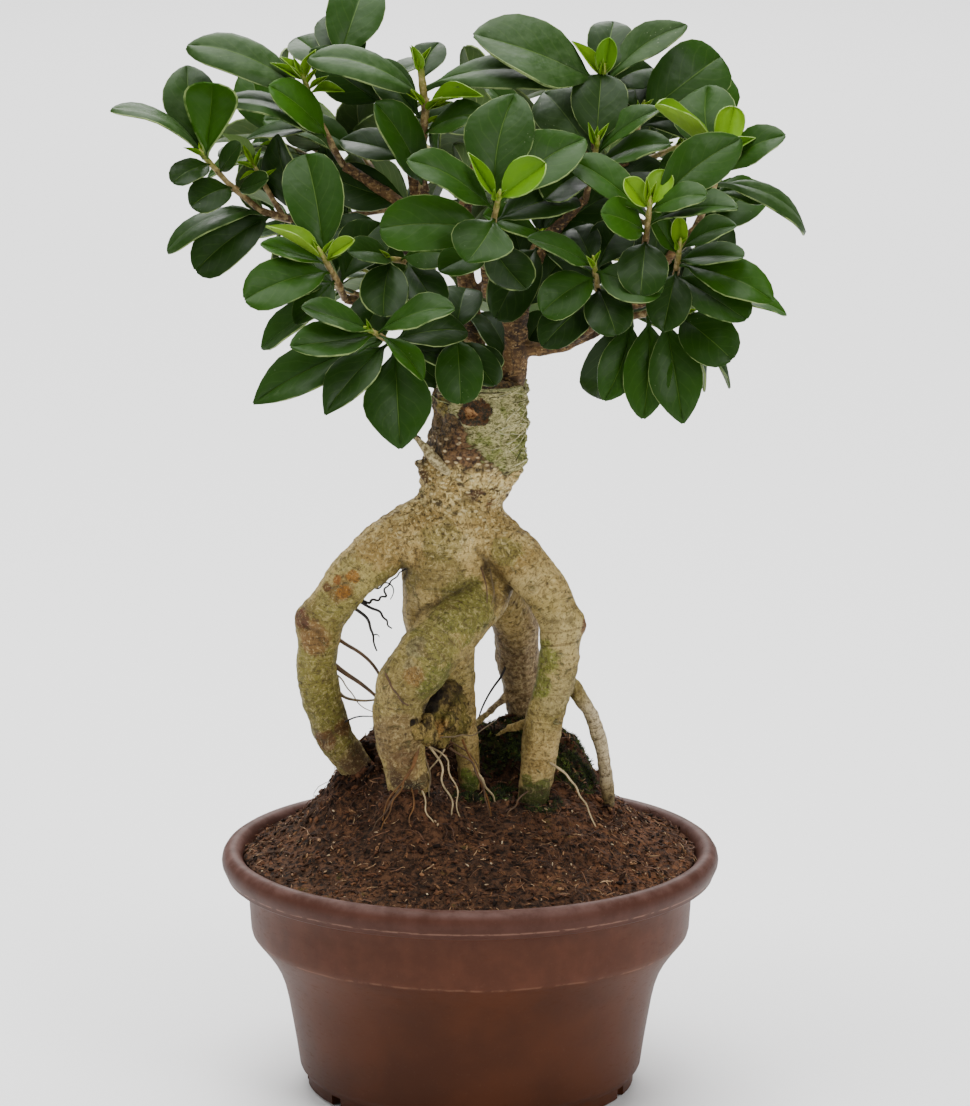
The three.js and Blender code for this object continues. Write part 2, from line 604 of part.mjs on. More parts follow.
// A leaf is an arched slab from the foot of its petiole, inside the twig, to its tip. skin adds
// to it all round.
function makeLeaf({ base, along, face, length, width, fine }, skin = 0) {
  const side = new THREE.Vector3().crossVectors(along, face);
  const half = BLADE_THICKNESS / 2 + skin;
  const points = [];
  const triangles = [];
  const point = (share, out, up) => points.push(base.clone()
    .addScaledVector(along, length * share)
    .addScaledVector(side, out)
    .addScaledVector(face, up + 4 * BLADE_ARCH * length * share * (1 - share))) - 1;
  // A cross-section as its corners on the upper face and on the under face, from left to right.
  const section = (share, reach, crease) => {
    const rise = crease ? BLADE_FOLD * reach : 0;
    const outs = crease ? [-reach, 0, reach] : [-reach, reach];
    const ups = outs.map((out) => (out === 0 ? 0 : rise));
    return {
      upper: outs.map((out, i) => point(share, out, ups[i] + half)),
      under: outs.map((out, i) => point(share, out, ups[i] - half)),
    };
  };
  // The strip of triangles between two rows of corners that run the same way.
  const strip = (near, far, turned) => {
    const add = (a, b, c) => (turned ? triangles.push(a, c, b) : triangles.push(a, b, c));
    const middle = (far.length - 1) / 2;
    if (far.length === 1) {
      near.slice(1).forEach((corner, i) => add(near[i], corner, far[0]));
    } else if (near.length < far.length) {
      add(near[0], near[1], far[middle]);
      add(near[0], far[middle], far[0]);
      add(near[1], far[2], far[middle]);
    } else {
      near.slice(1).forEach((corner, i) => {
        add(near[i], corner, far[i + 1]);
        add(near[i], far[i + 1], far[i]);
      });
    }
  };
  let last = section(0, PETIOLE_WIDTH / 2 + skin, false);
  triangles.push(last.upper[0], last.under[1], last.upper[1]);
  triangles.push(last.upper[0], last.under[0], last.under[1]);
  const tip = { upper: [point(1, 0, 0)] };
  tip.under = tip.upper;
  const sections = (fine ? FINE_BLADE : PLAIN_BLADE).map(([share, broad]) => {
    const reach = Math.max(broad * width, PETIOLE_WIDTH) / 2 + skin;
    return section(share, reach, fine && reach > PETIOLE_WIDTH + skin);
  });
  [...sections, tip].forEach((next) => {
    const lastRight = last.upper.length - 1;
    const nextRight = next.upper.length - 1;
    strip(last.upper, next.upper, false);
    strip(last.under, next.under, true);
    triangles.push(last.under[0], last.upper[0], next.upper[0]);
    triangles.push(last.upper[lastRight], last.under[lastRight], next.upper[nextRight]);
    if (next !== tip) {
      triangles.push(last.under[0], next.upper[0], next.under[0]);
      triangles.push(last.under[lastRight], next.under[nextRight], next.upper[nextRight]);
    }
    last = next;
  });
  return toSolid(geometryOf(points, triangles));
}

// Placing the leaves

// Turns of lean and clock angle, and sizes, that are tried in order until a leaf is clear.
const TURNS = [
  [0, 0], [6, 0], [-6, 0], [0, 7], [0, -7], [12, 0], [-12, 0], [8, 10], [-8, -10],
  [8, -10], [-8, 10], [0, 16], [0, -16], [18, 0], [-18, 0], [16, 16], [-16, -16],
  [16, -16], [-16, 16], [26, 0], [-26, 0], [0, 28], [0, -28], [26, 24], [-26, -24],
  [26, -24], [-26, 24], [36, 0], [-36, 0], [0, 42], [0, -42],
];
const SIZES = [1, 0.86, 0.72];
const LEAF_CLEARANCE = 0.4;

// A leaf's place and attitude from its row in a shoot's list.
function leafFrom(shoot, [back, clock, lean, length, width, up], [moreLean, moreClock], size) {
  const along = direction(clock + moreClock, lean + moreLean);
  const rise = THREE.MathUtils.degToRad(up);
  const face = shoot.outward.clone().multiplyScalar(Math.cos(rise));
  face.z += Math.sin(rise);
  face.addScaledVector(along, -face.dot(along)).normalize();
  const base = pointOnTwig(shoot.twig, back);
  const fine = shoot.fine && length >= FINE_FROM_LENGTH;
  return { base, along, face, length: length * size, width: width * size, fine };
}

// The outer three quarters of a leaf, away from the crowded foot of its petiole.
function outerPart(leaf) {
  const base = leaf.base.clone().addScaledVector(leaf.along, leaf.length / 4);
  return { ...leaf, base, length: 0.75 * leaf.length };
}

function withBox(solid) {
  const { min, max } = solid.boundingBox();
  return { solid, min, max };
}

function meets(a, b) {
  const apart = [0, 1, 2].some((i) => a.min[i] > b.max[i] || b.min[i] > a.max[i]);
  return !apart && !a.solid.intersect(b.solid).isEmpty();
}

// Adds a shoot's leaves one by one, each in the first attitude that clears everything else.
function growLeaves(shoot, obstacles) {
  const others = obstacles.filter(({ owner }) => owner !== shoot.name);
  const outer = [];
  shoot.leaves.forEach((row) => {
    for (const size of SIZES) {
      for (const turn of TURNS) {
        const leaf = leafFrom(shoot, row, turn, size);
        const guard = withBox(makeLeaf(leaf, LEAF_CLEARANCE));
        const tipPart = withBox(makeLeaf(outerPart(leaf)));
        const touches = others.some((solid) => meets(guard, solid));
        if (!touches && !outer.some((solid) => meets(tipPart, solid))) {
          const solid = makeLeaf(leaf);
          shoot.solids.push(solid);
          outer.push(tipPart);
          obstacles.push({ ...withBox(solid), owner: shoot.name });
          return;
        }
      }
    }
  });
}

// A draw between 0 and 1 that is always the same for the same number.
function draw(seed) {
  const value = Math.sin(seed * 12.9898) * 43758.5453;
  return value - Math.floor(value);
}

const GOLDEN_ANGLE = 137.5;
const CROWN_MIDDLE_Y = 36;
const FIRST_SPREAD = 42;
const SPREAD_STEP = 11;
const FILL_LEAF_LENGTH = 33;
const FILL_LEAF_EXTRA = 10;
const LEAF_STEP = 5;

// Rows for the leaves of a filling shoot, which spiral down from its bud by the golden angle and
// open wider the older they are.
function spiralLeaves(axis, count, seed) {
  const across = new THREE.Vector3(0, 0, 1).cross(axis).normalize();
  const over = new THREE.Vector3().crossVectors(axis, across);
  const rows = [];
  for (let i = 0; i < count; i += 1) {
    const turn = THREE.MathUtils.degToRad(GOLDEN_ANGLE * i + 360 * draw(seed));
    const spread = THREE.MathUtils.degToRad(FIRST_SPREAD + SPREAD_STEP * i);
    const along = axis.clone().multiplyScalar(Math.cos(spread))
      .addScaledVector(across, Math.cos(turn) * Math.sin(spread))
      .addScaledVector(over, Math.sin(turn) * Math.sin(spread));
    const clock = THREE.MathUtils.radToDeg(Math.atan2(along.z, along.x));
    const lean = THREE.MathUtils.radToDeg(Math.asin(-along.y));
    const length = FILL_LEAF_LENGTH + FILL_LEAF_EXTRA * draw(seed + 0.37 * (i + 1));
    const width = length * (0.46 + 0.08 * draw(seed + 0.61 * (i + 1)));
    const up = 35 + 20 * draw(seed + 0.83 * (i + 1));
    rows.push([1 + LEAF_STEP * i, clock, lean, length, width, up]);
  }
  return rows;
}

function listShoots() {
  const vector = ([x, y, z]) => new THREE.Vector3(x, y, z);
  const shoots = Object.entries(FRONT_SHOOTS).map(([name, { twig, leaves, radius }]) => ({
    name: `shoot_${name}`,
    twig: twig.map(vector),
    outward: new THREE.Vector3(0, -1, 0),
    radius: radius ?? TWIG_RADIUS,
    fine: true,
    leaves,
  }));
  FILL_SHOOTS.forEach(([start, bud, count], i) => {
    const twig = [vector(start), vector(bud)];
    const axis = twig[1].clone().sub(twig[0]).normalize();
    const outward = new THREE.Vector3(bud[0], bud[1] - CROWN_MIDDLE_Y, 0).normalize();
    const name = `shoot_inner_${String(i + 1).padStart(2, '0')}`;
    const leaves = spiralLeaves(axis, count, i + 1);
    shoots.push({ name, twig, outward, radius: TWIG_RADIUS, fine: false, leaves });
  });
  return shoots;
}

// Assembly

const rootstock = makeRootstock();
const scions = Object.entries(SCIONS).map(([name, limbs]) => ({ name, solid: makeScion(limbs) }));
const scionSeats = union(Object.values(SCIONS).map((limbs) => makeScion(limbs, FIT_GAP)));
const limbs = Object.values(SCIONS).flat().map(limbRings);

const shoots = listShoots();
const obstacles = [rootstock, ...scions.map(({ solid }) => solid)].map(withBox);
shoots.forEach((shoot) => {
  const { point, facing } = seatOnLimb(limbs, shoot.twig[0], shoot.twig[1]);
  shoot.twig[0] = point;
  const twig = makeTwig(shoot.twig, facing, shoot.radius);
  shoot.solids = [twig];
  obstacles.push({ ...withBox(twig), owner: shoot.name });
});
shoots.forEach((shoot) => growLeaves(shoot, obstacles));

const bonsai = new THREE.Group();
bonsai.add(toMesh('pot', makePot(), POT_COLOUR, 0.45));
bonsai.add(toMesh('soil', makeSoil(makeRootstock(FIT_GAP)), SOIL_COLOUR, 0.95));
bonsai.add(toMesh('rootstock', rootstock.subtract(scionSeats), ROOT_COLOUR, 0.75));
scions.forEach(({ name, solid }) => {
  bonsai.add(toMesh(name, solid, BARK_COLOUR, 0.8));
});
shoots.forEach(({ name, solids }) => {
  bonsai.add(toMesh(name, union(solids), LEAF_COLOUR, 0.4));
});

export default bonsai;
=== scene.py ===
import json
import math
import random

import bmesh
import bpy
import numpy as np
from mathutils import Matrix, Vector, kdtree, noise
from mathutils.bvhtree import BVHTree

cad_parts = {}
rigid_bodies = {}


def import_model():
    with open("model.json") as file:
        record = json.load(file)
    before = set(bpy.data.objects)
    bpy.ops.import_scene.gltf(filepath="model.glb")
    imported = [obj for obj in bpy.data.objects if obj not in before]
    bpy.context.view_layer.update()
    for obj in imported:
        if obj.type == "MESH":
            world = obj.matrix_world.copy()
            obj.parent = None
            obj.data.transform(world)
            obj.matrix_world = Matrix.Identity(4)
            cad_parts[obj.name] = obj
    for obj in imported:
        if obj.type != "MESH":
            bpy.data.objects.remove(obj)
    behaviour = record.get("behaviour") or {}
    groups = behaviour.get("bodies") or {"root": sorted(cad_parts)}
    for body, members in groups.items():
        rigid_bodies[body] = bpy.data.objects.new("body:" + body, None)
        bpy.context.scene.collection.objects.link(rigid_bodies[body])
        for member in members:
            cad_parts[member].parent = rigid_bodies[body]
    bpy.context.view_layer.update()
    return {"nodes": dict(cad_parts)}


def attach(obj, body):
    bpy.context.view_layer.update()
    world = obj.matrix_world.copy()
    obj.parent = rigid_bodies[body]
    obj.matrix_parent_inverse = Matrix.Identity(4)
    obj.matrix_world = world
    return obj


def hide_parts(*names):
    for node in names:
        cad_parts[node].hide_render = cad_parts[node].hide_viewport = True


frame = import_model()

MM = 0.001
bpy.ops.object.select_all(action="DESELECT")


# Pot: one injection-moulded bowl of brown polypropylene, with a rolled rim that stands out over
# the wall, a shoulder, a tapering wall, a floor with drain holes and a foot ring with notches.
# It is drawn as one profile and spun, and the notches and holes are cut out of it.

POT_PROFILE = [
    (0, 4.5), (59.6, 4.5), (60, 4.1), (60.4, 0.4), (60.9, 0), (65.7, 0), (66.1, 0.4),
    (66.2, 4.2), (66.9, 5.3), (68.6, 7.2), (69.1, 8.4), (70.5, 18), (72.0, 27), (73.6, 36),
    (75.0, 42), (77.0, 47.5), (79.6, 52.4), (82.4, 56.4), (84.9, 59.6), (86.9, 62.0), (87.9, 63.4),
    (88.4, 65.2), (88.6, 68), (89.2, 77), (89.6, 85.2), (90.1, 86.1), (91.3, 86.5), (96.2, 86.5),
    (97.4, 86.6), (97.9, 87.0), (98.1, 87.7), (98.9, 89.4), (99.8, 91.4), (100, 92.9),
    (99.6, 94.9), (98.5, 96.7), (97.0, 97.7), (95.4, 98), (93.7, 97.4), (92.4, 96.0),
    (91.3, 93.2), (89.6, 88.8), (88.0, 85.0), (87.0, 77), (85.9, 67.2), (85.2, 64.6),
    (83.4, 62), (80.7, 59.4), (77.2, 54.4), (73.9, 49.5), (71.9, 43), (70.5, 37),
    (68.8, 27), (67.4, 18), (66.3, 9.6), (65.2, 7.6), (63.6, 7), (0, 7),
]
POT_SEGMENTS = 128
NOTCHES, NOTCH_PHASE, NOTCH_CIRCLE, NOTCH_SIZE = 12, 6, 63, (12, 6, 8)
DRAIN_HOLES, DRAIN_RADIUS, DRAIN_CIRCLE = 6, 4.5, 40
DRAIN_MIDDLE, DRAIN_DEPTH = 5, 20
MERGE_GAP = 1e-6
# heights in metres: where the wall changes tone and a highlight is painted along the shoulder's edge, where
# the rim starts, and where a highlight is painted round the rim's foot
SHOULDER_LINE, RIM_FOOT, RIM_HIGHLIGHT = 0.0633, 0.0865, 0.0889


def pick(*pieces):
    """Selects these pieces alone and makes the first one active."""
    bpy.ops.object.select_all(action="DESELECT")
    for piece in pieces:
        piece.select_set(True)
    bpy.context.view_layer.objects.active = pieces[0]


def joined(pieces):
    """These pieces as one mesh, which keeps the name of the first."""
    pick(*pieces)
    bpy.ops.object.join()
    return bpy.context.object


def apply_modifiers(piece):
    """Applies all of the piece's modifiers, in turn."""
    pick(piece)
    for modifier in list(piece.modifiers):
        bpy.ops.object.modifier_apply(modifier=modifier.name)


def edit_all():
    """Opens the active piece for editing, all of it selected."""
    bpy.ops.object.mode_set(mode="EDIT")
    bpy.ops.mesh.select_all(action="SELECT")


def clean_shell(piece):
    """Merges doubles and turns the faces outwards."""
    pick(piece)
    edit_all()
    bpy.ops.mesh.remove_doubles(threshold=MERGE_GAP)
    bpy.ops.mesh.normals_make_consistent(inside=False)
    bpy.ops.object.mode_set(mode="OBJECT")


def smooth(piece, degrees):
    """Shades a piece smooth, apart from edges sharper than degrees."""
    pick(piece)
    bpy.ops.object.shade_smooth_by_angle(angle=math.radians(degrees))


def place_in_mesh(piece):
    """Puts the piece's place, turn and size in its mesh."""
    pick(piece)
    bpy.ops.object.transform_apply(location=True, rotation=True, scale=True)


def on_circle(radius, turn, height):
    """A place on a circle round the pot's axis, from millimetres."""
    return radius * MM * math.cos(turn), radius * MM * math.sin(turn), height * MM


bpy.ops.mesh.primitive_circle_add(vertices=3, radius=1, fill_type="NOTHING")
pot = bpy.context.object
pot.name = "pot_shell"
edit_all()
bpy.ops.mesh.merge(type="CENTER")
here = Vector((0, 0, 0))
for radius, height in POT_PROFILE:
    there = Vector((radius * MM, 0, height * MM))
    if (radius, height) == POT_PROFILE[0]:
        bpy.ops.transform.translate(value=there - here)
    else:
        bpy.ops.mesh.extrude_vertices_move(TRANSFORM_OT_translate={"value": there - here})
    here = there
bpy.ops.mesh.select_all(action="SELECT")
bpy.ops.mesh.spin(steps=POT_SEGMENTS, angle=2 * math.pi, center=(0, 0, 0), axis=(0, 0, 1))
bpy.ops.object.mode_set(mode="OBJECT")
clean_shell(pot)

cutters = []
for i in range(NOTCHES):
    turn = math.radians(360 / NOTCHES * i + NOTCH_PHASE - 90)
    bpy.ops.mesh.primitive_cube_add(
        size=1, scale=[c * MM for c in NOTCH_SIZE], rotation=(0, 0, turn),
        location=on_circle(NOTCH_CIRCLE, turn, 0))
    cutters.append(bpy.context.object)
for i in range(DRAIN_HOLES):
    turn = 2 * math.pi * (i + 0.5) / DRAIN_HOLES
    bpy.ops.mesh.primitive_cylinder_add(
        vertices=24, radius=DRAIN_RADIUS * MM, depth=DRAIN_DEPTH * MM,
        location=on_circle(DRAIN_CIRCLE, turn, DRAIN_MIDDLE))
    cutters.append(bpy.context.object)
cutter = joined(cutters)
place_in_mesh(cutter)
cut = pot.modifiers.new("notches and holes", "BOOLEAN")
cut.operation = "DIFFERENCE"
cut.solver = "EXACT"
cut.object = cutter
apply_modifiers(pot)
bpy.data.objects.remove(cutter)
smooth(pot, 32)


class Reading:
    """A number over the surface, to write shader sums with: each operator adds a Math node."""

    def __init__(self, tree, socket):
        self.tree = tree
        self.socket = socket

    def math(self, operation, *values, clamp=False):
        node = self.tree.nodes.new("ShaderNodeMath")
        node.operation = operation
        node.use_clamp = clamp
        for place, value in enumerate(values):
            if isinstance(value, Reading):
                self.tree.links.new(value.socket, node.inputs[place])
            else:
                node.inputs[place].default_value = value
        return Reading(self.tree, node.outputs[0])

    def __add__(self, other):
        return self.math("ADD", self, other)

    def __radd__(self, other):
        return self.math("ADD", other, self)

    def __sub__(self, other):
        return self.math("SUBTRACT", self, other)

    def __rsub__(self, other):
        return self.math("SUBTRACT", other, self)

    def __mul__(self, other):
        return self.math("MULTIPLY", self, other)

    def __rmul__(self, other):
        return self.math("MULTIPLY", other, self)

    def __abs__(self):
        return self.math("ABSOLUTE", self)

    def clamped(self):
        return self.math("ADD", self, 0.0, clamp=True)

    def ramp(self, start, end):
        """0 below start and 1 above end, smooth in between; start may be above end."""
        node = self.tree.nodes.new("ShaderNodeMapRange")
        node.interpolation_type = "SMOOTHSTEP"
        self.tree.links.new(self.socket, node.inputs["Value"])
        low, high = (0, 1) if start < end else (1, 0)
        for name, value in (("From Min", min(start, end)), ("From Max", max(start, end)),
                            ("To Min", low), ("To Max", high)):
            node.inputs[name].default_value = value
        return Reading(self.tree, node.outputs["Result"])


class Finish:
    """A material under construction."""

    def __init__(self, name):
        self.material = bpy.data.materials.new(name)
        self.material.use_nodes = True
        self.tree = self.material.node_tree
        self.shader = next(n for n in self.tree.nodes if n.type == "BSDF_PRINCIPLED")

    def node(self, kind, settings=None, **values):
        """Adds a node: its settings first, then a value or a link for each socket."""
        node = self.tree.nodes.new(kind)
        for name, value in (settings or {}).items():
            if name == "stops":
                ramp = node.color_ramp
                while len(ramp.elements) < len(value):
                    ramp.elements.new(0.5)
                for element, (place, colour) in zip(ramp.elements, value):
                    element.position = place
                    element.color = (*colour, 1)
            else:
                setattr(node, name, value)
        for name, value in values.items():
            self.feed(node.inputs[self.socket_index(node, name)], value)
        return node

    def socket_index(self, node, name):
        """The number of a socket, from at_NUMBER or from its name with _ for each space."""
        if name.startswith("at_"):
            return int(name[3:])
        wanted = name.replace("_", " ").lower()
        return next(i for i, s in enumerate(node.inputs) if s.name.lower() == wanted)

    def feed(self, socket, value):
        """Links a reading or a socket to a socket, or sets it to a plain value."""
        if isinstance(value, Reading):
            self.tree.links.new(value.socket, socket)
        elif isinstance(value, bpy.types.NodeSocket):
            self.tree.links.new(value, socket)
        elif isinstance(value, (tuple, list)) and len(value) == 3 and socket.type == "RGBA":
            socket.default_value = (*value, 1)
        else:
            socket.default_value = value

    def reading(self, socket):
        return Reading(self.tree, socket)

    def place(self):
        """The surface point in the object's own metres."""
        return self.node("ShaderNodeTexCoord").outputs["Object"]

    def split(self, vector):
        """A vector's three parts."""
        node = self.node("ShaderNodeSeparateXYZ", at_0=vector)
        return [self.reading(socket) for socket in node.outputs]

    def stretched(self, vector, scale, shift=(0, 0, 0)):
        """A place moved and stretched, so that a pattern on it differs from the plain one."""
        return self.node("ShaderNodeMapping", at_0=vector, Scale=scale, Location=shift).outputs[0]

    def speckle(self, vector, per_metre, detail=4.0, roughness=0.55, distortion=0.0):
        """Fractal noise, about 0.5 in the middle."""
        node = self.node("ShaderNodeTexNoise", Vector=vector, Scale=per_metre, Detail=detail,
                         Roughness=roughness, Distortion=distortion)
        return self.reading(node.outputs[0])

    def cells(self, vector, per_metre, feature="F1"):
        """How far it is to the middle of a cell, or with DISTANCE_TO_EDGE to its edge."""
        node = self.node("ShaderNodeTexVoronoi", {"feature": feature}, Vector=vector, Scale=per_metre)
        return self.reading(node.outputs["Distance"])

    def mix(self, share, first, second):
        node = self.node("ShaderNodeMix", {"data_type": "RGBA"})
        self.feed(node.inputs["Factor"], share)
        self.feed(next(s for s in node.inputs if s.name == "A" and s.type == "RGBA"), first)
        self.feed(next(s for s in node.inputs if s.name == "B" and s.type == "RGBA"), second)
        return next(s for s in node.outputs if s.type == "RGBA")

    def mark(self, name):
        """What is stamped on the mesh under a name."""
        return self.reading(self.node("ShaderNodeAttribute", {"attribute_name": name}).outputs["Fac"])

    def graded(self, reading, *stops):
        """The colour that a reading has on a ramp of (place, colour from 0 to 255)."""
        stops = [(place, srgb(*colour)) for place, colour in stops]
        return self.node("ShaderNodeValToRGB", {"stops": stops}, at_0=reading).outputs[0]

    def between(self, share, first, second):
        """Two colours from 0 to 255, mixed."""
        return self.mix(share, srgb(*first), srgb(*second))

    def painted(self, tint, *coats):
        """A tint under coats of (share, colour), laid on in turn; a colour is a socket or 0 to 255."""
        for share, colour in coats:
            tint = self.mix(share, tint, srgb(*colour) if isinstance(colour, tuple) else colour)
        return tint

    def relief(self, *layers):
        """Bump layers of (height, strength, distance in metres), each on top of the last."""
        normal = None
        for height, strength, distance in layers:
            node = self.node("ShaderNodeBump", Height=height, Strength=strength, Distance=distance)
            if normal is not None:
                self.feed(node.inputs["Normal"], normal)
            normal = node.outputs["Normal"]
        self.feed(self.shader.inputs["Normal"], normal)

    def surface(self, **values):
        """Feeds the shader's own sockets, and hands over the finished material."""
        for name, value in values.items():
            self.feed(self.shader.inputs[self.socket_index(self.shader, name)], value)
        return self.material


def srgb(red, green, blue):
    """A colour as read from a picture, 0 to 255, in the linear values that shaders use."""
    return tuple(((c / 255 + 0.055) / 1.055) ** 2.4 if c > 10 else c / 3295 for c in (red, green, blue))


pot_finish = Finish("moulded brown plastic")
spot = pot_finish.place()
height = pot_finish.split(spot)[2]
cloudy = pot_finish.speckle(spot, 26, 5)
fine = pot_finish.speckle(spot, 900, 3)
mottled = pot_finish.speckle(spot, 110, 5, 0.62)
scuffs = pot_finish.speckle(pot_finish.stretched(spot, (1, 1, 6)), 240, 3)
body = pot_finish.between(cloudy.ramp(0.35, 0.68), (62, 31, 14), (74, 38, 18))
band = pot_finish.between(mottled.ramp(0.34, 0.70), (71, 38, 23), (80, 44, 28))
rim = pot_finish.between(mottled.ramp(0.30, 0.74), (62, 34, 24), (74, 44, 34))
level = height + (cloudy - 0.5) * 0.004
# painted highlights: a thin light line along the shoulder's edge, and one round the foot of the rim
line = abs(level - SHOULDER_LINE).ramp(0.0006, 0.0002) * mottled.ramp(0.42, 0.56)
rim_foot_highlight = abs(height - RIM_HIGHLIGHT).ramp(0.0005, 0.0002) * scuffs.ramp(0.40, 0.55)
# painted highlight: the top of the rim roll made lighter
rim_top_highlight = height.ramp(0.0945, 0.0968) * mottled.ramp(0.30, 0.70)
tint = pot_finish.painted(
    body,
    (level.ramp(SHOULDER_LINE - 0.0011, SHOULDER_LINE + 0.0007), band),
    (line * 0.25, (136, 98, 74)),
    (height.ramp(RIM_FOOT - MM, RIM_FOOT + MM), rim),
    (rim_foot_highlight * 0.35, (150, 112, 94)),
    (rim_top_highlight * 0.25, (116, 94, 90)),
    (fine.ramp(0.6, 0.8) * 0.06, (140, 112, 92)))
pot_finish.relief((cloudy, 0.25, 0.0012), (mottled, 0.06, 0.0004), (fine, 0.1, 0.00008))
pot_material = pot_finish.surface(
    Base_Color=tint,
    Roughness=(0.46 + 0.12 * cloudy + 0.12 * scuffs.ramp(0.55, 0.75)).clamped(),
    Specular_IOR_Level=0.15)

pot.data.materials.append(pot_material)
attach(pot, "root")
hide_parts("pot")


# Soil: peat with coir fibre, filled to just under the rim, mounded, and heaped round the roots
# where the old root ball stands out of it. It starts from the filling's own solid, remeshed
# fine. Loose crumbs, fibres and pale specks lie on it, and moss grows on the root ball.

def piece_of(name, data):
    """A new piece in the scene, of a mesh or a curve."""
    piece = bpy.data.objects.new(name, data)
    bpy.context.scene.collection.objects.link(piece)
    return piece


def copy_of(node, name):
    """A merged copy of a CAD node, as a new piece."""
    mesh = frame["nodes"][node].data.copy()
    piece = piece_of(name, mesh)
    mesh.materials.clear()
    shell = bmesh.new()
    shell.from_mesh(mesh)
    bmesh.ops.remove_doubles(shell, verts=shell.verts, dist=MERGE_GAP)
    shell.to_mesh(mesh)
    shell.free()
    return piece


def remesh(piece, voxel, passes, strength=0.5):
    """Even faces of a voxel's size in millimetres, softened in some passes."""
    grid = piece.modifiers.new("even faces", "REMESH")
    grid.mode = "VOXEL"
    grid.voxel_size = voxel * MM
    soften = piece.modifiers.new("soften", "SMOOTH")
    soften.iterations = passes
    soften.factor = strength
    apply_modifiers(piece)


def coordinates(piece, reading="co"):
    flat = np.empty(len(piece.data.vertices) * 3)
    piece.data.vertices.foreach_get(reading, flat)
    return flat.reshape(-1, 3)


def normals(piece):
    return coordinates(piece, "normal")


def set_coordinates(piece, points):
    piece.data.vertices.foreach_set("co", points.ravel())
    piece.data.update()


def stamp(mesh, name, values):
    """Marks each vertex with a value, or all with one, for a material to read."""
    mark = mesh.attributes.new(name, "FLOAT", "POINT")
    mark.data.foreach_set("value", np.full(len(mesh.vertices), values, np.float32))


def shell_of(*pieces):
    """The faces of these pieces as one shell, to send rays at and to find what cuts into it."""
    corners, faces = [], []
    for piece in pieces:
        first = len(corners)
        corners.extend(vertex.co for vertex in piece.data.vertices)
        faces.extend([first + v for v in face.vertices] for face in piece.data.polygons)
    return BVHTree.FromPolygons(corners, faces)


def distances(points, centre):
    return np.linalg.norm(points - np.array(centre), axis=1)


def falloff(away, reach):
    """1 at no distance, about a third at reach, and next to nothing at twice reach."""
    return np.exp(-((away / reach) ** 2))


# heights in metres above which the filling is shaped, and forms lie on it
SHAPED_ABOVE, STREWN_ABOVE = 0.085, 0.088
CRUMBS, CRUMBS_AT_FEET, FIBRES, SHREDS, SPECKS, TUFTS_PER_POINT = 5200, 700, 420, 3000, 460, 2
HEAPS = [
    # centre, reach and rise in millimetres: soil heaped on the feet of the roots
    ((-27, -32), 15, 9.5), ((-43, -6), 12, 4.5),
]
MOSS_PATCHES = [
    # centre and reach in millimetres, on the root ball behind the roots and at their feet
    ((16, 15, 136), 13), ((30, 12, 128), 13), ((44, 10, 126), 12), ((8, 14, 126), 10),
    ((22, 26, 140), 16), ((4, 24, 130), 14), ((-2, -8, 118), 9), ((28, -14, 120), 10),
    ((-14, 30, 128), 14), ((38, 30, 128), 14), ((-36, 12, 124), 9), ((14, -4, 118), 9),
]

soil = copy_of("soil", "soil_fill")
remesh(soil, voxel=1.5, passes=3)
points = coordinates(soil)
ways = normals(soil)
upward = np.clip((ways[:, 2] - 0.15) / 0.5, 0, 1) * (points[:, 2] > SHAPED_ABOVE)
for centre, reach, rise in HEAPS:
    heap = falloff(distances(points[:, :2] / MM, centre), reach)
    points[:, 2] += rise * MM * heap * (points[:, 2] > SHAPED_ABOVE)
clods = np.array([
    1.6 * noise.fractal(Vector(p) * 55, 0.9, 2.2, 3)
    + 1.1 * noise.fractal(Vector(p) * 190 + Vector((3, 7, 1)), 0.7, 2.3, 3) if u else 0
    for p, u in zip(points, upward)])
set_coordinates(soil, points + ways * (upward * np.clip(clods, -1.6, 1.4) * MM)[:, None])
smooth(soil, 180)
points = coordinates(soil) / MM
mossy = np.zeros(len(points))
for centre, reach in MOSS_PATCHES:
    mossy = np.maximum(mossy, 1 - distances(points, centre) / reach)
stamp(soil.data, "mossy", mossy)

soil_finish = Finish("peat and coir")
spot = soil_finish.place()
grit = soil_finish.speckle(spot, 420, 6, 0.7)
lumps = soil_finish.speckle(spot, 75, 4, 0.6)
strands = soil_finish.speckle(soil_finish.stretched(spot, (1, 0.25, 1)), 700, 3, 0.6, 1.5)
across = soil_finish.split(spot)[0]
dark = soil_finish.between(grit.ramp(0.38, 0.64), (20, 13, 8), (82, 56, 38))
warm = soil_finish.between(grit.ramp(0.36, 0.62), (32, 20, 12), (106, 68, 43))
reddish = (across.ramp(0.02, 0.075) * 0.75 + lumps.ramp(0.45, 0.7) * 0.5).clamped()
green = (soil_finish.mark("mossy") * 1.6 + (lumps - 0.5) * 2.4).ramp(0.25, 0.6)
tint = soil_finish.painted(
    dark,
    (reddish, warm),
    (strands.ramp(0.60, 0.70) * 0.45, (128, 86, 54)),
    (lumps.ramp(0.52, 0.38) * 0.4, (24, 16, 10)),
    (green * 0.9, soil_finish.between(grit.ramp(0.38, 0.64), (14, 18, 6), (52, 64, 20))))
soil_finish.relief((lumps, 0.8, 0.002), (grit, 0.9, 0.0012), (strands, 0.5, 0.0005))
soil_material = soil_finish.surface(Base_Color=tint, Roughness=0.92, Specular_IOR_Level=0.15)
soil.data.materials.append(soil_material)
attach(soil, "root")
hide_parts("soil")


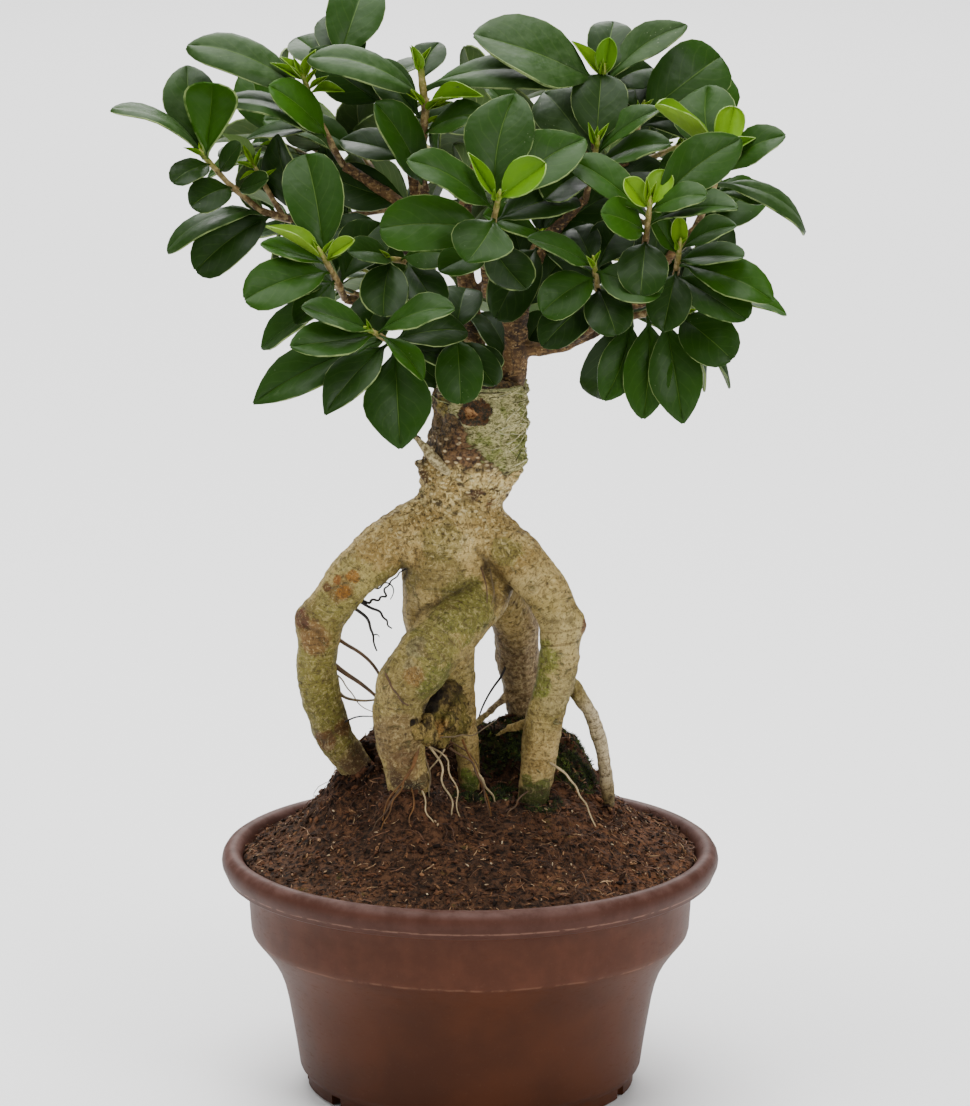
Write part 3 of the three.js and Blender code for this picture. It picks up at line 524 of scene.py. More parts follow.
def strewn(name, forms, places, material, chance):
    """One mesh of many copies of small forms, each in its own place and with its own tone."""
    points, faces, tones = [], [], []
    for place in places:
        form = forms[chance.randrange(len(forms))]
        first = len(points)
        points.extend(place @ vertex.co for vertex in form.data.vertices)
        faces.extend([first + v for v in face.vertices] for face in form.data.polygons)
        tones.extend([chance.random()] * len(form.data.vertices))
    mesh = bpy.data.meshes.new(name)
    mesh.from_pydata(points, [], faces)
    stamp(mesh, "tone", tones)
    mesh.materials.append(material)
    piece = piece_of(name, mesh)
    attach(piece, "root")
    return piece


def laid(place, normal, chance, size, flat=1.0, lean=0.5):
    """A matrix that lays a form 1 long at a place, turned by chance, its height along normal."""
    up = (Vector(normal) + lean * Vector([chance.uniform(-1, 1) for _ in range(3)])).normalized()
    side = up.orthogonal().normalized()
    turned = Matrix.Rotation(chance.uniform(0, 2 * math.pi), 3, up) @ side
    frame_of = Matrix((turned * size, up.cross(turned) * size, up * size * flat)).transposed()
    return Matrix.Translation(place) @ frame_of.to_4x4()


def crumb(name, pull, stretch):
    """A lump of peat, 1 across: a coarse ball, stretched, with its corners pulled in and out."""
    bpy.ops.mesh.primitive_ico_sphere_add(subdivisions=1, radius=0.5)
    lump = bpy.context.object
    lump.name = name
    points = coordinates(lump) * np.array(stretch)
    for i, shift in enumerate(pull):
        points[i] *= shift
    set_coordinates(lump, points)
    return lump


def curl(name, points, radius):
    """A bent fibre about 1 long, with three sides."""
    bpy.ops.mesh.primitive_circle_add(
        vertices=3, radius=radius, location=points[0], rotation=(0, math.pi / 2, 0))
    strand = bpy.context.object
    strand.name = name
    edit_all()
    bpy.ops.mesh.edge_face_add()
    for before, after in zip(points, points[1:]):
        step = Vector(after) - Vector(before)
        bpy.ops.mesh.extrude_region_move(TRANSFORM_OT_translate={"value": step})
    bpy.ops.transform.resize(value=(0.4, 0.4, 0.4), center_override=points[-1])
    bpy.ops.object.mode_set(mode="OBJECT")
    place_in_mesh(strand)
    clean_shell(strand)
    return strand


chance = random.Random(21)
crumbs = [
    crumb("crumb_a", [1.2, 0.8, 1.1, 0.7, 1.0, 1.3, 0.8, 1.1, 0.9, 1.2, 0.75, 1.0], (1.5, 0.8, 0.7)),
    crumb("crumb_b", [0.8, 1.3, 0.9, 1.1, 0.7, 1.0, 1.2, 0.7, 1.25, 0.8, 1.1, 0.9], (1.2, 0.9, 0.8)),
    crumb("crumb_c", [1.0, 0.9, 0.6, 1.3, 1.1, 0.8, 1.0, 1.4, 0.7, 1.0, 0.8, 1.2], (1.9, 0.6, 0.55)),
]
fibres = [
    curl("fibre_a", [(-0.5, 0, 0.02), (-0.25, 0.06, 0.08), (0.02, 0.10, 0.07), (0.28, 0.04, 0.10),
                     (0.5, -0.08, 0.05)], 0.016),
    curl("fibre_b", [(-0.5, 0, 0.05), (-0.22, -0.12, 0.03), (0.05, -0.14, 0.10), (0.3, 0.02, 0.16),
                     (0.44, 0.16, 0.10)], 0.018),
    curl("fibre_c", [(-0.5, 0, 0.02), (-0.2, 0.02, 0.14), (0.1, 0.0, 0.20), (0.35, -0.05, 0.14),
                     (0.5, -0.06, 0.0)], 0.014),
]
shreds = [
    curl("shred_a", [(-0.5, 0, 0.03), (-0.15, 0.06, 0.08), (0.2, 0.02, 0.12), (0.5, -0.08, 0.05)], 0.045),
    curl("shred_b", [(-0.5, 0, 0.0), (-0.2, -0.08, 0.12), (0.15, -0.06, 0.2), (0.45, 0.06, 0.24)], 0.055),
]
points = coordinates(soil)
ways = normals(soil)
open_top = [i for i in range(len(points)) if ways[i][2] > 0.25 and points[i][2] > STREWN_ABOVE]


def scattered(count, spots, least, spread, power, lift, flat=1.0, lean=0.5, left_of=None, thinned=0):
    """Places for forms on the soil, at spots taken by chance. Sizes run from least to least plus
    spread in millimetres, and a higher power gives more small ones; lift says how high a form of
    some size lies. To the left of a line, a share is thinned out."""
    places = []
    for _ in range(count):
        i = spots[chance.randrange(len(spots))]
        if left_of is not None and points[i][0] < left_of and chance.random() < thinned:
            continue
        size = least + spread * chance.random() ** power
        raised = points[i] + ways[i] * lift(size) * MM
        places.append(laid(raised, ways[i], chance, size * MM, flat, lean))
    return places


crumb_finish = Finish("peat crumbs")
grit = crumb_finish.speckle(crumb_finish.place(), 900, 4, 0.7)
ageing = crumb_finish.graded(
    crumb_finish.mark("tone"), (0.0, (22, 14, 9)), (0.4, (52, 33, 22)), (0.78, (84, 54, 36)),
    (0.94, (112, 74, 48)), (1.0, (150, 114, 80)))
tint = crumb_finish.mix(grit.ramp(0.30, 0.58), srgb(20, 12, 8), ageing)
crumb_finish.relief((grit, 0.7, 0.0006))
crumb_material = crumb_finish.surface(Base_Color=tint, Roughness=0.9, Specular_IOR_Level=0.15)

places = scattered(
    CRUMBS, open_top, least=0.8, spread=1.7, power=3, lift=lambda size: 0.15 * size, flat=0.75)
root_shell = shell_of(frame["nodes"]["rootstock"])
at_feet = [i for i in open_top if root_shell.find_nearest(points[i], 3.5 * MM)[0] is not None]
places += scattered(
    CRUMBS_AT_FEET, at_feet, least=1.3, spread=2.6, power=2, lift=lambda size: 0.2 * size, flat=0.85)
strewn("soil_crumbs", crumbs, places, crumb_material, chance)

fibre_finish = Finish("coir fibre")
ageing = fibre_finish.graded(
    fibre_finish.mark("tone"), (0.0, (34, 20, 12)), (0.45, (74, 45, 26)), (0.8, (118, 77, 46)),
    (1.0, (186, 154, 112)))
uneven = fibre_finish.speckle(fibre_finish.place(), 500, 3)
fibre_material = fibre_finish.surface(
    Base_Color=fibre_finish.mix(uneven.ramp(0.35, 0.6), srgb(60, 34, 18), ageing), Roughness=0.8)

places = scattered(
    FIBRES, open_top, least=4, spread=8, power=2, lift=lambda size: 0.4, lean=0.25,
    left_of=0.02, thinned=0.5)
strewn("soil_fibres", fibres, places, fibre_material, chance)
places = scattered(
    SHREDS, open_top, least=1.8, spread=3.4, power=2, lift=lambda size: 0.25, lean=0.4,
    left_of=0.03, thinned=0.4)
strewn("soil_shreds", shreds, places, fibre_material, chance)

speck_finish = Finish("pale specks in the soil")
uneven = speck_finish.speckle(speck_finish.place(), 1200, 3)
tint = speck_finish.between(speck_finish.mark("tone").ramp(0.2, 0.9), (128, 94, 60), (196, 176, 140))
speck_material = speck_finish.surface(
    Base_Color=speck_finish.mix(uneven.ramp(0.6, 0.4) * 0.5, tint, srgb(92, 64, 40)), Roughness=0.8)
places = scattered(
    SPECKS, open_top, least=0.45, spread=0.85, power=2, lift=lambda size: 0.4, flat=0.8)
strewn("soil_specks", crumbs, places, speck_material, chance)

bpy.ops.mesh.primitive_cone_add(
    vertices=3, radius1=0.13, depth=1, location=(0, 0, 0.5), end_fill_type="NOTHING")
tuft = bpy.context.object
tuft.name = "moss_tuft"
edit_all()
for _ in range(4):
    bpy.ops.mesh.duplicate()
    bpy.ops.transform.rotate(value=0.5, orient_axis="X", center_override=(0, 0, 0))
    bpy.ops.transform.rotate(value=1.26, orient_axis="Z", center_override=(0, 0, 0))
bpy.ops.object.mode_set(mode="OBJECT")
place_in_mesh(tuft)

moss_finish = Finish("moss")
patchy = moss_finish.speckle(moss_finish.place(), 220, 3)
ageing = moss_finish.graded(
    moss_finish.mark("tone"), (0.0, (18, 26, 8)), (0.5, (40, 58, 16)), (0.85, (74, 96, 30)),
    (1.0, (118, 134, 52)))
moss_material = moss_finish.surface(
    Base_Color=moss_finish.mix(patchy.ramp(0.62, 0.42) * 0.6, ageing, srgb(30, 26, 12)), Roughness=0.85)
places = []
for i in open_top:
    if mossy[i] > 0 and noise.noise(Vector(points[i]) * 160) > -0.15:
        for _ in range(TUFTS_PER_POINT):
            if chance.random() < 2.2 * mossy[i]:
                size = 1.1 + 1.5 * chance.random()
                places.append(laid(points[i] - ways[i] * 0.1 * MM, ways[i], chance, size * MM, 1.0, 0.7))
strewn("moss_tufts", [tuft], places, moss_material, chance)
for form in (*crumbs, *fibres, *shreds, tuft):
    bpy.data.objects.remove(form)


# Rootstock: the seedling fig itself, grown as one piece: a thick trunk, cut off square at the
# top, on swollen aerial roots that arch down into the soil. Its bark is thin, beige to olive,
# wrinkled across each root, speckled, with knots, scars and a hollow.

ROOT_AXES = [
    # x, y, z and radius along the middle of the trunk and of each root
    [(4, 0, 289, 17.6), (3, 0, 272, 18.2), (1, 0, 256, 19.6), (-3, 0, 242, 16.8), (-6, 0, 226, 19),
     (-9, 1, 205, 18.4), (-10, 3, 182, 15.2), (-8, 4, 172, 10.4), (-5, 4, 161, 7.4),
     (-1, 3, 135, 5.2), (0, 2, 110, 4)],
    [(-12, 0, 231, 13.6), (-34, -6, 221, 11.2), (-48, -9, 209, 9.8), (-59, -10, 193, 9), (-61, -9, 176, 8.4),
     (-59, -7, 159, 8), (-54, -5, 143, 7.6), (-45, -3, 130, 6.6), (-35, 0, 117, 4.8)],
    [(0, 0, 231, 12.8), (20, -8, 217, 10.4), (30, -12, 206, 9.6), (36, -14, 194, 9), (36, -14, 182, 8.2),
     (34, -13, 167, 8), (28, -11, 142, 7.6), (27, -10, 131, 7.2), (24, -8, 106, 4.8)],
    [(13, 5, 213, 9), (5, -8, 202, 10.6), (-6, -17, 192, 11.8), (-17, -23, 182, 12.6), (-26, -25, 169, 12),
     (-28, -25, 157, 10.8), (-27, -24, 143, 9.6), (-21, -20, 118, 4)],
    [(4, 4, 211, 9), (13, 14, 197, 9), (18, 20, 184, 9.6), (19, 26, 170, 9.2), (22, 32, 142, 7)],
    [(35, -10, 173, 4), (48, 0, 153, 3.2), (53, 4, 138, 3), (56, 6, 112, 2.4)],
    [(18, 27, 154, 3.6), (11, 20, 151, 2.5), (1, 8, 145, 1.6)],
    [(30, -10, 155, 3.2), (23, -5, 149, 2.3), (10, 4, 142, 1.2)],
    [(-8, -4, 244, 4), (-15, -6, 250, 3), (-20, -7, 257, 2)],
]
KNOTS = [
    # centre, radius and height in millimetres; a pit has a height below 0
    ((-68, -10, 194), 6.0, 2.2), ((45, -16, 192), 5.0, 2.2), ((-15, -30, 160), 6.0, -3.6),
    ((-11, -33, 154), 2.8, 2.6), ((2, -19, 278), 6.2, 2.2), ((2, -21, 278), 2.8, -3.4),
    ((-25, -22, 125), 11, 2.6), ((-48, -14, 140), 5, 0.8), ((36, -22, 178), 5, 0.6),
    ((-51, -18, 208), 7.0, -1.1), ((38, -22, 216), 3.0, 1.0), ((-26, -37, 190), 4.0, 1.0),
    ((17, -17, 247), 3.0, 1.2), ((-10, -17, 262), 3.6, 1.3), ((8, -18, 234), 2.8, 0.9),
    ((-68, -12, 168), 4.0, 0.8), ((27, -19, 150), 4.5, 0.9), ((-2, -20, 221), 3.0, -0.9),
    ((5, -16, 243), 4.5, -1.2), ((-6, -18, 238), 2.2, -1.2), ((-12, -15, 241), 2.4, -1.2),
    ((-20, -9, 249), 3.2, 1.6), ((14, -12, 251), 3.4, -1.6), ((-35, -17, 226), 4.0, 0.9),
    ((-21, -34, 178), 4.0, 0.8), ((30, -21, 160), 3.0, 0.7), ((-58, -13, 144), 4.0, 0.8),
    ((-33, -29, 126), 6.5, 2.4), ((-18, -32, 124), 6.0, 2.2), ((-28, -34, 131), 3.2, -1.3),
    ((-36, -24, 122), 6.0, 2.2), ((-22, -35, 133), 3.0, 1.1), ((-15, -27, 131), 4.5, 1.6),
]
CREASES = [
    # folds where roots meet or the bark is drawn in, as lines of points in millimetres; the bark is pushed
    # in along them and painted darker there as shade
    [(-22, -10, 194), (-16, -15, 200), (-10, -17, 203), (-5, -17, 206), (0, -16, 208)],
    [(3, -16, 223), (6, -13, 217), (9, -13, 211), (10, -16, 204), (11, -17, 198)],
    [(28, -19, 195), (34, -22, 195), (41, -21, 196)],
    [(-59, -11, 143), (-54, -13, 147), (-50, -10, 149)],
    [(-27, -14, 218), (-26, -4, 210)],
    [(-6, -17, 241), (-3, -17, 243), (2, -16, 242)],
    [(-65, -16, 191), (-59, -18, 189)],
    [(-30, -34, 141), (-25, -35, 143), (-20, -33, 142)],
]
STAINS = [
    # centre and reach in millimetres, colour and strength, in the order they are laid on
    ((-46, -14, 206), 20, (164, 154, 84), 0.6), ((36, -22, 188), 17, (200, 180, 120), 0.5),
    ((33, -20, 166), 14, (192, 172, 114), 0.45), ((22, -16, 209), 10, (196, 174, 116), 0.4),
    ((-22, -36, 166), 14, (110, 98, 44), 0.6), ((-64, -14, 172), 26, (116, 110, 38), 0.85),
    ((-58, -12, 150), 22, (104, 98, 34), 0.85), ((-52, -16, 196), 17, (116, 110, 44), 0.6),
    ((-30, -10, 210), 13, (104, 98, 38), 0.6), ((-2, -24, 201), 19, (102, 104, 32), 0.8),
    ((-14, -30, 188), 15, (108, 108, 38), 0.7), ((-12, -33, 172), 13, (92, 98, 28), 0.8),
    ((-11, -18, 226), 13, (112, 104, 40), 0.6), ((-12, -18, 212), 15, (110, 98, 46), 0.6),
    ((29, -19, 180), 11, (106, 116, 32), 0.8), ((27, -18, 168), 9, (104, 116, 30), 0.8),
    ((14, -16, 222), 9, (108, 112, 40), 0.5), ((22.5, -15, 128.5), 4, (96, 108, 34), 0.85),
    ((29, -16, 126.5), 5, (84, 100, 26), 0.9), ((25, -16, 122), 8, (72, 88, 20), 0.95),
    ((31, -14, 121), 5, (66, 84, 18), 0.9), ((21, -13.5, 122), 5, (74, 88, 24), 0.9),
    ((-1.5, -2, 127), 4, (96, 116, 28), 0.9), ((1.5, -2, 124), 5, (84, 108, 18), 0.95),
    ((-1, -2, 120.5), 6.5, (72, 96, 16), 0.95), ((-45, -9, 134), 6, (78, 60, 30), 0.7),
    ((-22, -34, 188), 7, (138, 128, 96), 0.5), ((-24, -36, 181), 4, (140, 130, 98), 0.4),
    ((-28, -34, 150), 17, (118, 94, 58), 0.75), ((-26, -32, 138), 11, (108, 78, 50), 0.7),
    ((-24, -33, 128), 9, (88, 64, 38), 0.75), ((-30, -30, 133), 5, (74, 52, 30), 0.7),
    ((-28.3, -28.5, 131.4), 5, (70, 48, 28), 0.85), ((-23.7, -29.4, 131), 4, (56, 38, 24), 0.85),
    ((-19.5, -27.5, 131.5), 6, (66, 50, 28), 0.85), ((-24, -29, 128), 7, (44, 32, 20), 0.9),
    ((-22, -35, 176), 6, (126, 90, 40), 0.75), ((-9, -30, 152), 8, (122, 92, 38), 0.85),
    ((-45, -9, 135), 10, (84, 58, 36), 0.8), ((-58, -12, 144), 7, (92, 52, 28), 0.8),
    ((-50, -11, 149), 6, (92, 50, 26), 0.75), ((-62, -18, 187), 10, (128, 84, 48), 0.7),
    ((-67, -15, 195), 6.5, (88, 44, 24), 0.9), ((-72, -12, 193), 4, (60, 66, 26), 0.8),
    ((-51, -18, 207), 8.5, (106, 70, 28), 0.7), ((-50, -18, 206), 4.5, (142, 92, 20), 0.95),
    ((-53, -17, 211), 3.4, (140, 84, 22), 0.9), ((-46, -18, 212), 4, (150, 98, 26), 0.9),
    ((-57, -16, 208), 3.5, (92, 52, 20), 0.9), ((45, -16, 192), 4.5, (104, 62, 34), 0.9),
    ((3, -17, 244), 6, (70, 38, 20), 0.95), ((9, -15, 240), 5, (92, 48, 24), 0.9),
    ((11, -14, 246), 3, (60, 34, 20), 0.9), ((-20, -10, 250), 6, (72, 40, 22), 0.85),
    ((16, -12, 252), 5, (30, 20, 14), 0.9), ((-6, -17, 238), 2.6, (46, 34, 18), 0.9),
    # the near-black stain at (-17, -22, 161), beside the root knot's hollow, is painted shade
    ((-12, -14, 241), 2.6, (46, 34, 18), 0.9), ((-17, -22, 161), 7, (20, 12, 7), 1.0),
    ((-15, -6, 250), 5, (150, 136, 96), 0.8), ((-20, -7, 257), 4.5, (178, 164, 120), 0.9),
    ((-23, -8, 261), 2.4, (10, 8, 6), 1.0),
]
# the tape covers the bark where x + slope * z is above its level, between its foot and its top
TAPE_SLOPE, TAPE_LEVEL, TAPE_FOOT, TAPE_TOP = 0.8, 216.4, 253, 287.5
GRAFT_EYE = (2, -20, 278)
# heights: the trunk's bark is rough above the one, and the roots are in the soil below the other
ROUGH_ABOVE, SOIL_TOP = 232, 100


def to_segment(points, start, end):
    """For each point, its share of the way along a segment, and its distance from it."""
    start = np.array(start, float)
    step = np.array(end, float) - start
    share = np.clip((points - start) @ step / (step @ step), 0, 1)
    return share, np.linalg.norm(points - start - share[:, None] * step, axis=1)


def along_axes(points):
    """For each point, how far along its own root it lies, in millimetres."""
    best = np.full(len(points), 1e9)
    run = np.zeros(len(points))
    for number, axis in enumerate(ROOT_AXES):
        travelled = 37.0 * number
        for (*start, r0), (*end, r1) in zip(axis, axis[1:]):
            share, away = to_segment(points, start, end)
            away /= r0 + (r1 - r0) * share
            length = math.dist(start, end)
            nearer = away < best
            best[nearer] = away[nearer]
            run[nearer] = travelled + share[nearer] * length
            travelled += length
    return run


def crevices(piece, reach, sample):
    """How closed in each vertex is, 0 in the open to 1 in a deep crevice: the share of rays, sent
    out from each so many vertices, that meet the piece again within reach."""
    points, ways = coordinates(piece), normals(piece)
    shell = shell_of(piece)
    golden = math.pi * (3 - math.sqrt(5))
    rays = []
    for k, z in enumerate(np.linspace(-0.95, 0.95, 22)):
        flat = math.sqrt(1 - z * z)
        rays.append(Vector((flat * math.cos(golden * k), flat * math.sin(golden * k), z)))
    picked = range(0, len(points), sample)
    marks = kdtree.KDTree(len(picked))
    closed = {}
    for i in picked:
        way = Vector(ways[i])
        start = Vector(points[i]) + way * 0.0006
        hits, sent = 0, 0
        for ray in rays:
            if ray.dot(way) > 0.15:
                sent += 1
                hits += shell.ray_cast(start, ray, reach * MM)[0] is not None
        closed[i] = hits / max(1, sent)
        marks.insert(points[i], i)
    marks.balance()
    return np.array([np.mean([closed[found[1]] for found in marks.find_n(p, 4)]) for p in points])


def folds(points, lines, reach):
    """1 on a line and 0 beyond reach, for points and lines in millimetres; the lines waver."""
    noise.seed_set(1)  # noise_vector is seeded by the clock otherwise
    points = points + np.array([noise.noise_vector(Vector(p) * 0.22) for p in points])
    away = np.full(len(points), 1e9)
    for line in lines:
        for start, end in zip(line, line[1:]):
            away = np.minimum(away, to_segment(points, start, end)[1])
    return falloff(away, reach)


def soft_step(values, width):
    """0 where values are well below 0 and 1 where they are well above, smooth over a width."""
    return 1 / (1 + np.exp(-values / width))


def swell(piece, points, rises):
    """Moves each of the piece's points along its normal, in millimetres, and shades it smooth."""
    set_coordinates(piece, (points + normals(piece) * rises[:, None]) * MM)
    smooth(piece, 180)


rootstock = copy_of("rootstock", "rootstock_bark")
remesh(rootstock, voxel=0.85, passes=8, strength=0.6)
points = coordinates(rootstock) / MM
run = along_axes(points)
relief = np.zeros(len(points))
for centre, radius, rise in KNOTS:
    relief += rise * falloff(distances(points, centre), radius)
rougher = soft_step(points[:, 2] - ROUGH_ABOVE, 5)
rough = np.array([
    0.75 * noise.fractal(Vector(p) * 0.05, 0.8, 2.0, 3)
    + (0.34 + 0.95 * r) * noise.fractal(Vector(p) * 0.17 + Vector((9, 2, 5)), 0.75, 2.1, 4)
    + (0.24 - 0.12 * r) * noise.noise(Vector((s * 0.55, p[0] * 0.09, p[1] * 0.09 + 0.09 * p[2])))
    for p, s, r in zip(points, run, rougher)])
wander = np.array([
    5 * noise.fractal(Vector(p) * 0.08, 0.8, 2.1, 4) if p[2] > ROUGH_ABOVE + 8 else 0 for p in points])
taped = (soft_step(points[:, 0] + TAPE_SLOPE * points[:, 2] + wander - TAPE_LEVEL, 1.4)
         * soft_step(points[:, 2] - TAPE_FOOT, 1.2) * (points[:, 2] < TAPE_TOP))
ragged = np.array([
    max(0.0, 0.5 + noise.fractal(Vector((p[0], p[1], 2.5 * p[2])) * 0.12, 0.7, 2.2, 4)) if t > 0.05 else 0
    for p, t in zip(points, taped)])
folded = folds(points, CREASES, reach=1.7)
relief += rough + (0.4 + 1.6 * ragged) * taped - 1.3 * folded
relief[points[:, 2] < SOIL_TOP] *= 0.2
swell(rootstock, points, relief)
stamp(rootstock.data, "run", run * MM)
# closed marks how shut in each point is, for painted shade and dirt in the crevices
stamp(rootstock.data, "closed", crevices(rootstock, reach=14, sample=9))
stamp(rootstock.data, "folded", folded)
stamp(rootstock.data, "taped", taped)

bark = Finish("fig root bark")
spot = bark.place()
across, deep, high = bark.split(spot)
run = bark.mark("run")
closed = bark.mark("closed")
folded = bark.mark("folded")
taped = bark.mark("taped")
wrapped = bark.node(
    "ShaderNodeCombineXYZ", X=run * 5.0 + across * 0.7, Y=deep * 0.7, Z=high * 0.7).outputs[0]
mottle = bark.speckle(spot, 48, 5, 0.6)
patches = bark.speckle(bark.stretched(spot, (1, 1, 1), (3, 1, 2)), 24, 4, 0.55, 0.4)
blots = bark.speckle(spot, 170, 5, 0.65)
grain = bark.speckle(spot, 620, 5, 0.68)
grit = bark.speckle(spot, 1500, 3, 0.6)
rings = bark.speckle(wrapped, 150, 4, 0.62, 0.3)
flecks = bark.cells(bark.stretched(spot, (1, 1, 1.6)), 430)
freckles = bark.cells(spot, 230)
wrinkles = bark.cells(bark.stretched(wrapped, (1, 1, 1), (0.3, 0.1, 0.2)), 90, "DISTANCE_TO_EDGE")
wrinkles = wrinkles.ramp(0.08, 0.01) * (blots + mottle - 0.5).ramp(0.46, 0.62)
strokes = bark.speckle(bark.stretched(spot, (1, 1, 0.8), (4, 1, 6)), 300, 3, 0.6, 2.5)
pits = bark.cells(bark.stretched(spot, (1, 1, 1.3), (1, 2, 0)), 210).ramp(0.32, 0.16)
scales = bark.cells(bark.stretched(spot, (1, 1, 1.8), (7, 2, 5)), 250).ramp(0.32, 0.18)
trunk = high.ramp(0.210, 0.246)
grainy = grain.ramp(0.4, 0.6)


def near(finish, point, inner, outer):
    """1 within inner millimetres of a point, 0 beyond outer."""
    node = finish.node("ShaderNodeVectorMath", {"operation": "DISTANCE"}, at_0=finish.place(),
                       at_1=[c * MM for c in point])
    return finish.reading(node.outputs["Value"]).ramp(outer * MM, inner * MM)


pale = bark.between(mottle.ramp(0.35, 0.65), (150, 122, 64), (204, 177, 112))
olive = bark.between(mottle.ramp(0.35, 0.65), (90, 84, 32), (134, 120, 58))
lower = high.ramp(0.232, 0.17)
green = (lower * patches.ramp(0.36, 0.6) * 0.75 + patches.ramp(0.55, 0.72) * 0.4).clamped()
behind = near(bark, (20, 29, 168), 24, 34) * deep.ramp(0.006, 0.016)
tint = bark.painted(
    pale,
    (green * (1 - 0.8 * behind), olive),
    (behind * 0.8, bark.between(grainy, (84, 64, 44), (134, 112, 84))),
    (near(bark, (53, 4, 140), 14, 27) * 0.85, (204, 186, 150)))
ragged = (blots - 0.5) * 1.7
for centre, reach, colour, strength in STAINS:
    stain = (near(bark, centre, 0.25 * reach, 1.15 * reach) + ragged).ramp(0.35, 0.75)
    tint = bark.painted(tint, (stain * strength, colour))
tint = bark.painted(
    tint,
    (rings.ramp(0.55, 0.68) * 0.55, (84, 62, 32)),
    (rings.ramp(0.44, 0.34) * 0.14, (206, 184, 130)),
    (wrinkles * 0.45, (70, 54, 28)),
    (grain.ramp(0.46, 0.39) * (0.62 + 0.3 * trunk), (56, 42, 20)),
    (grain.ramp(0.56, 0.64) * (0.35 + 0.5 * trunk), (220, 200, 140)),
    (flecks.ramp(0.26, 0.12) * mottle.ramp(0.45, 0.6) * (0.14 + 0.5 * trunk), (222, 202, 150)),
    (freckles.ramp(0.20, 0.10) * blots.ramp(0.46, 0.56) * 0.75, (62, 42, 20)),
    (strokes.ramp(0.44, 0.39) * (0.45 + 0.35 * trunk), (80, 62, 30)),
    (strokes.ramp(0.57, 0.63) * (0.2 + 0.6 * trunk), (226, 206, 146)),
    (pits * trunk * blots.ramp(0.42, 0.54) * 0.9, (52, 36, 18)),
    (scales * trunk * 0.7, (232, 214, 160)))

neck = high.ramp(0.246, 0.262) * high.ramp(0.300, 0.290)
dark_bark = (neck + ragged - 0.25).ramp(0.2, 0.6)
reddish = bark.between(grain.ramp(0.4, 0.62), (56, 30, 18), (134, 92, 60))
brown = bark.painted(
    bark.between(grain.ramp(0.40, 0.62), (32, 23, 13), (108, 82, 48)),
    (near(bark, (-2, -20, 264), 4, 12) * 0.6, reddish),
    (scales * (1 - high.ramp(0.262, 0.272)), (206, 182, 138)))
moss_mark = (near(bark, (-11, -11, 279), 2, 7) + ragged * 0.6).ramp(0.4, 0.7)
frayed = bark.speckle(bark.stretched(spot, (1, 1, 2.2), (5, 3, 1)), 120, 6, 0.7, 1.2)
tape = (taped + (frayed - 0.5) * 2.6).ramp(0.25, 0.6)
threads = bark.speckle(bark.stretched(spot, (1, 1, 2.5)), 380, 4, 0.7, 1.8)
moss = bark.painted(
    bark.between(threads.ramp(0.38, 0.58), (116, 114, 58), (222, 212, 152)),
    ((blots + mottle - 0.5).ramp(0.48, 0.62) * 0.8,
     bark.between(threads.ramp(0.4, 0.6), (84, 98, 26), (160, 166, 84))),
    (strokes.ramp(0.42, 0.34) * 0.7, (70, 66, 34)))
lid = (near(bark, GRAFT_EYE, 3.0, 9.5) + ragged * 1.2).ramp(0.35, 0.6)
# the eye's pale centre, set off to the upper left, partly a painted highlight
pupil_and_highlight = (near(bark, (0.5, -20, 278.6), 0.6, 4.4) + ragged * 0.7).ramp(0.4, 0.6)
soiled = (high.ramp(0.136, 0.110) * mottle.ramp(0.3, 0.6) * 0.75).clamped()
# painted shade with dirt: the bark darkened where the crevices close in
crevice_shade_and_dirt = (closed.ramp(0.24, 0.62) + (blots - 0.5) * 0.8 + (grain - 0.5) * 1.1).clamped()
tint = bark.painted(
    tint,
    (dark_bark * 0.94, brown),
    (moss_mark * 0.8, bark.between(grainy, (70, 62, 20), (146, 128, 56))),
    (tape * 0.95, moss),
    (lid * 0.95, bark.between(grain.ramp(0.42, 0.6), (22, 13, 8), (106, 64, 32))),
    (pupil_and_highlight, bark.between(grainy, (110, 62, 28), (210, 158, 100))),
    (soiled, (40, 30, 16)),
    (crevice_shade_and_dirt * 0.75, (44, 31, 16)),
    # painted shade: the bark darkened along the creases
    ((folded + (grain - 0.5) * 1.6).ramp(0.45, 1.0) * 0.55, (54, 40, 20)))
bark.relief((rings, 0.8, 0.0012), (blots, 0.7, 0.0016), (wrinkles, -0.5, 0.0006), (grain, 1.0, 0.0009),
            (grit, 0.5, 0.0003), (strokes, 0.6, 0.0008), (pits * trunk, -0.9, 0.0012),
            (scales * trunk, 0.7, 0.0007), (tape * (threads + blots), 1.0, 0.0016))
bark_material = bark.surface(Base_Color=tint, Roughness=(0.55 + 0.25 * grain + 0.2 * tape).clamped(),
                             Specular_IOR_Level=0.3)
rootstock.data.materials.append(bark_material)
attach(rootstock, "root")
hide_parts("rootstock")


# Root knot: a rough lump of old root tissue between the twisted root and the central one. It is
# grown on both and over the twisted root's edge, with painted shade in its hollows and tan wood showing.

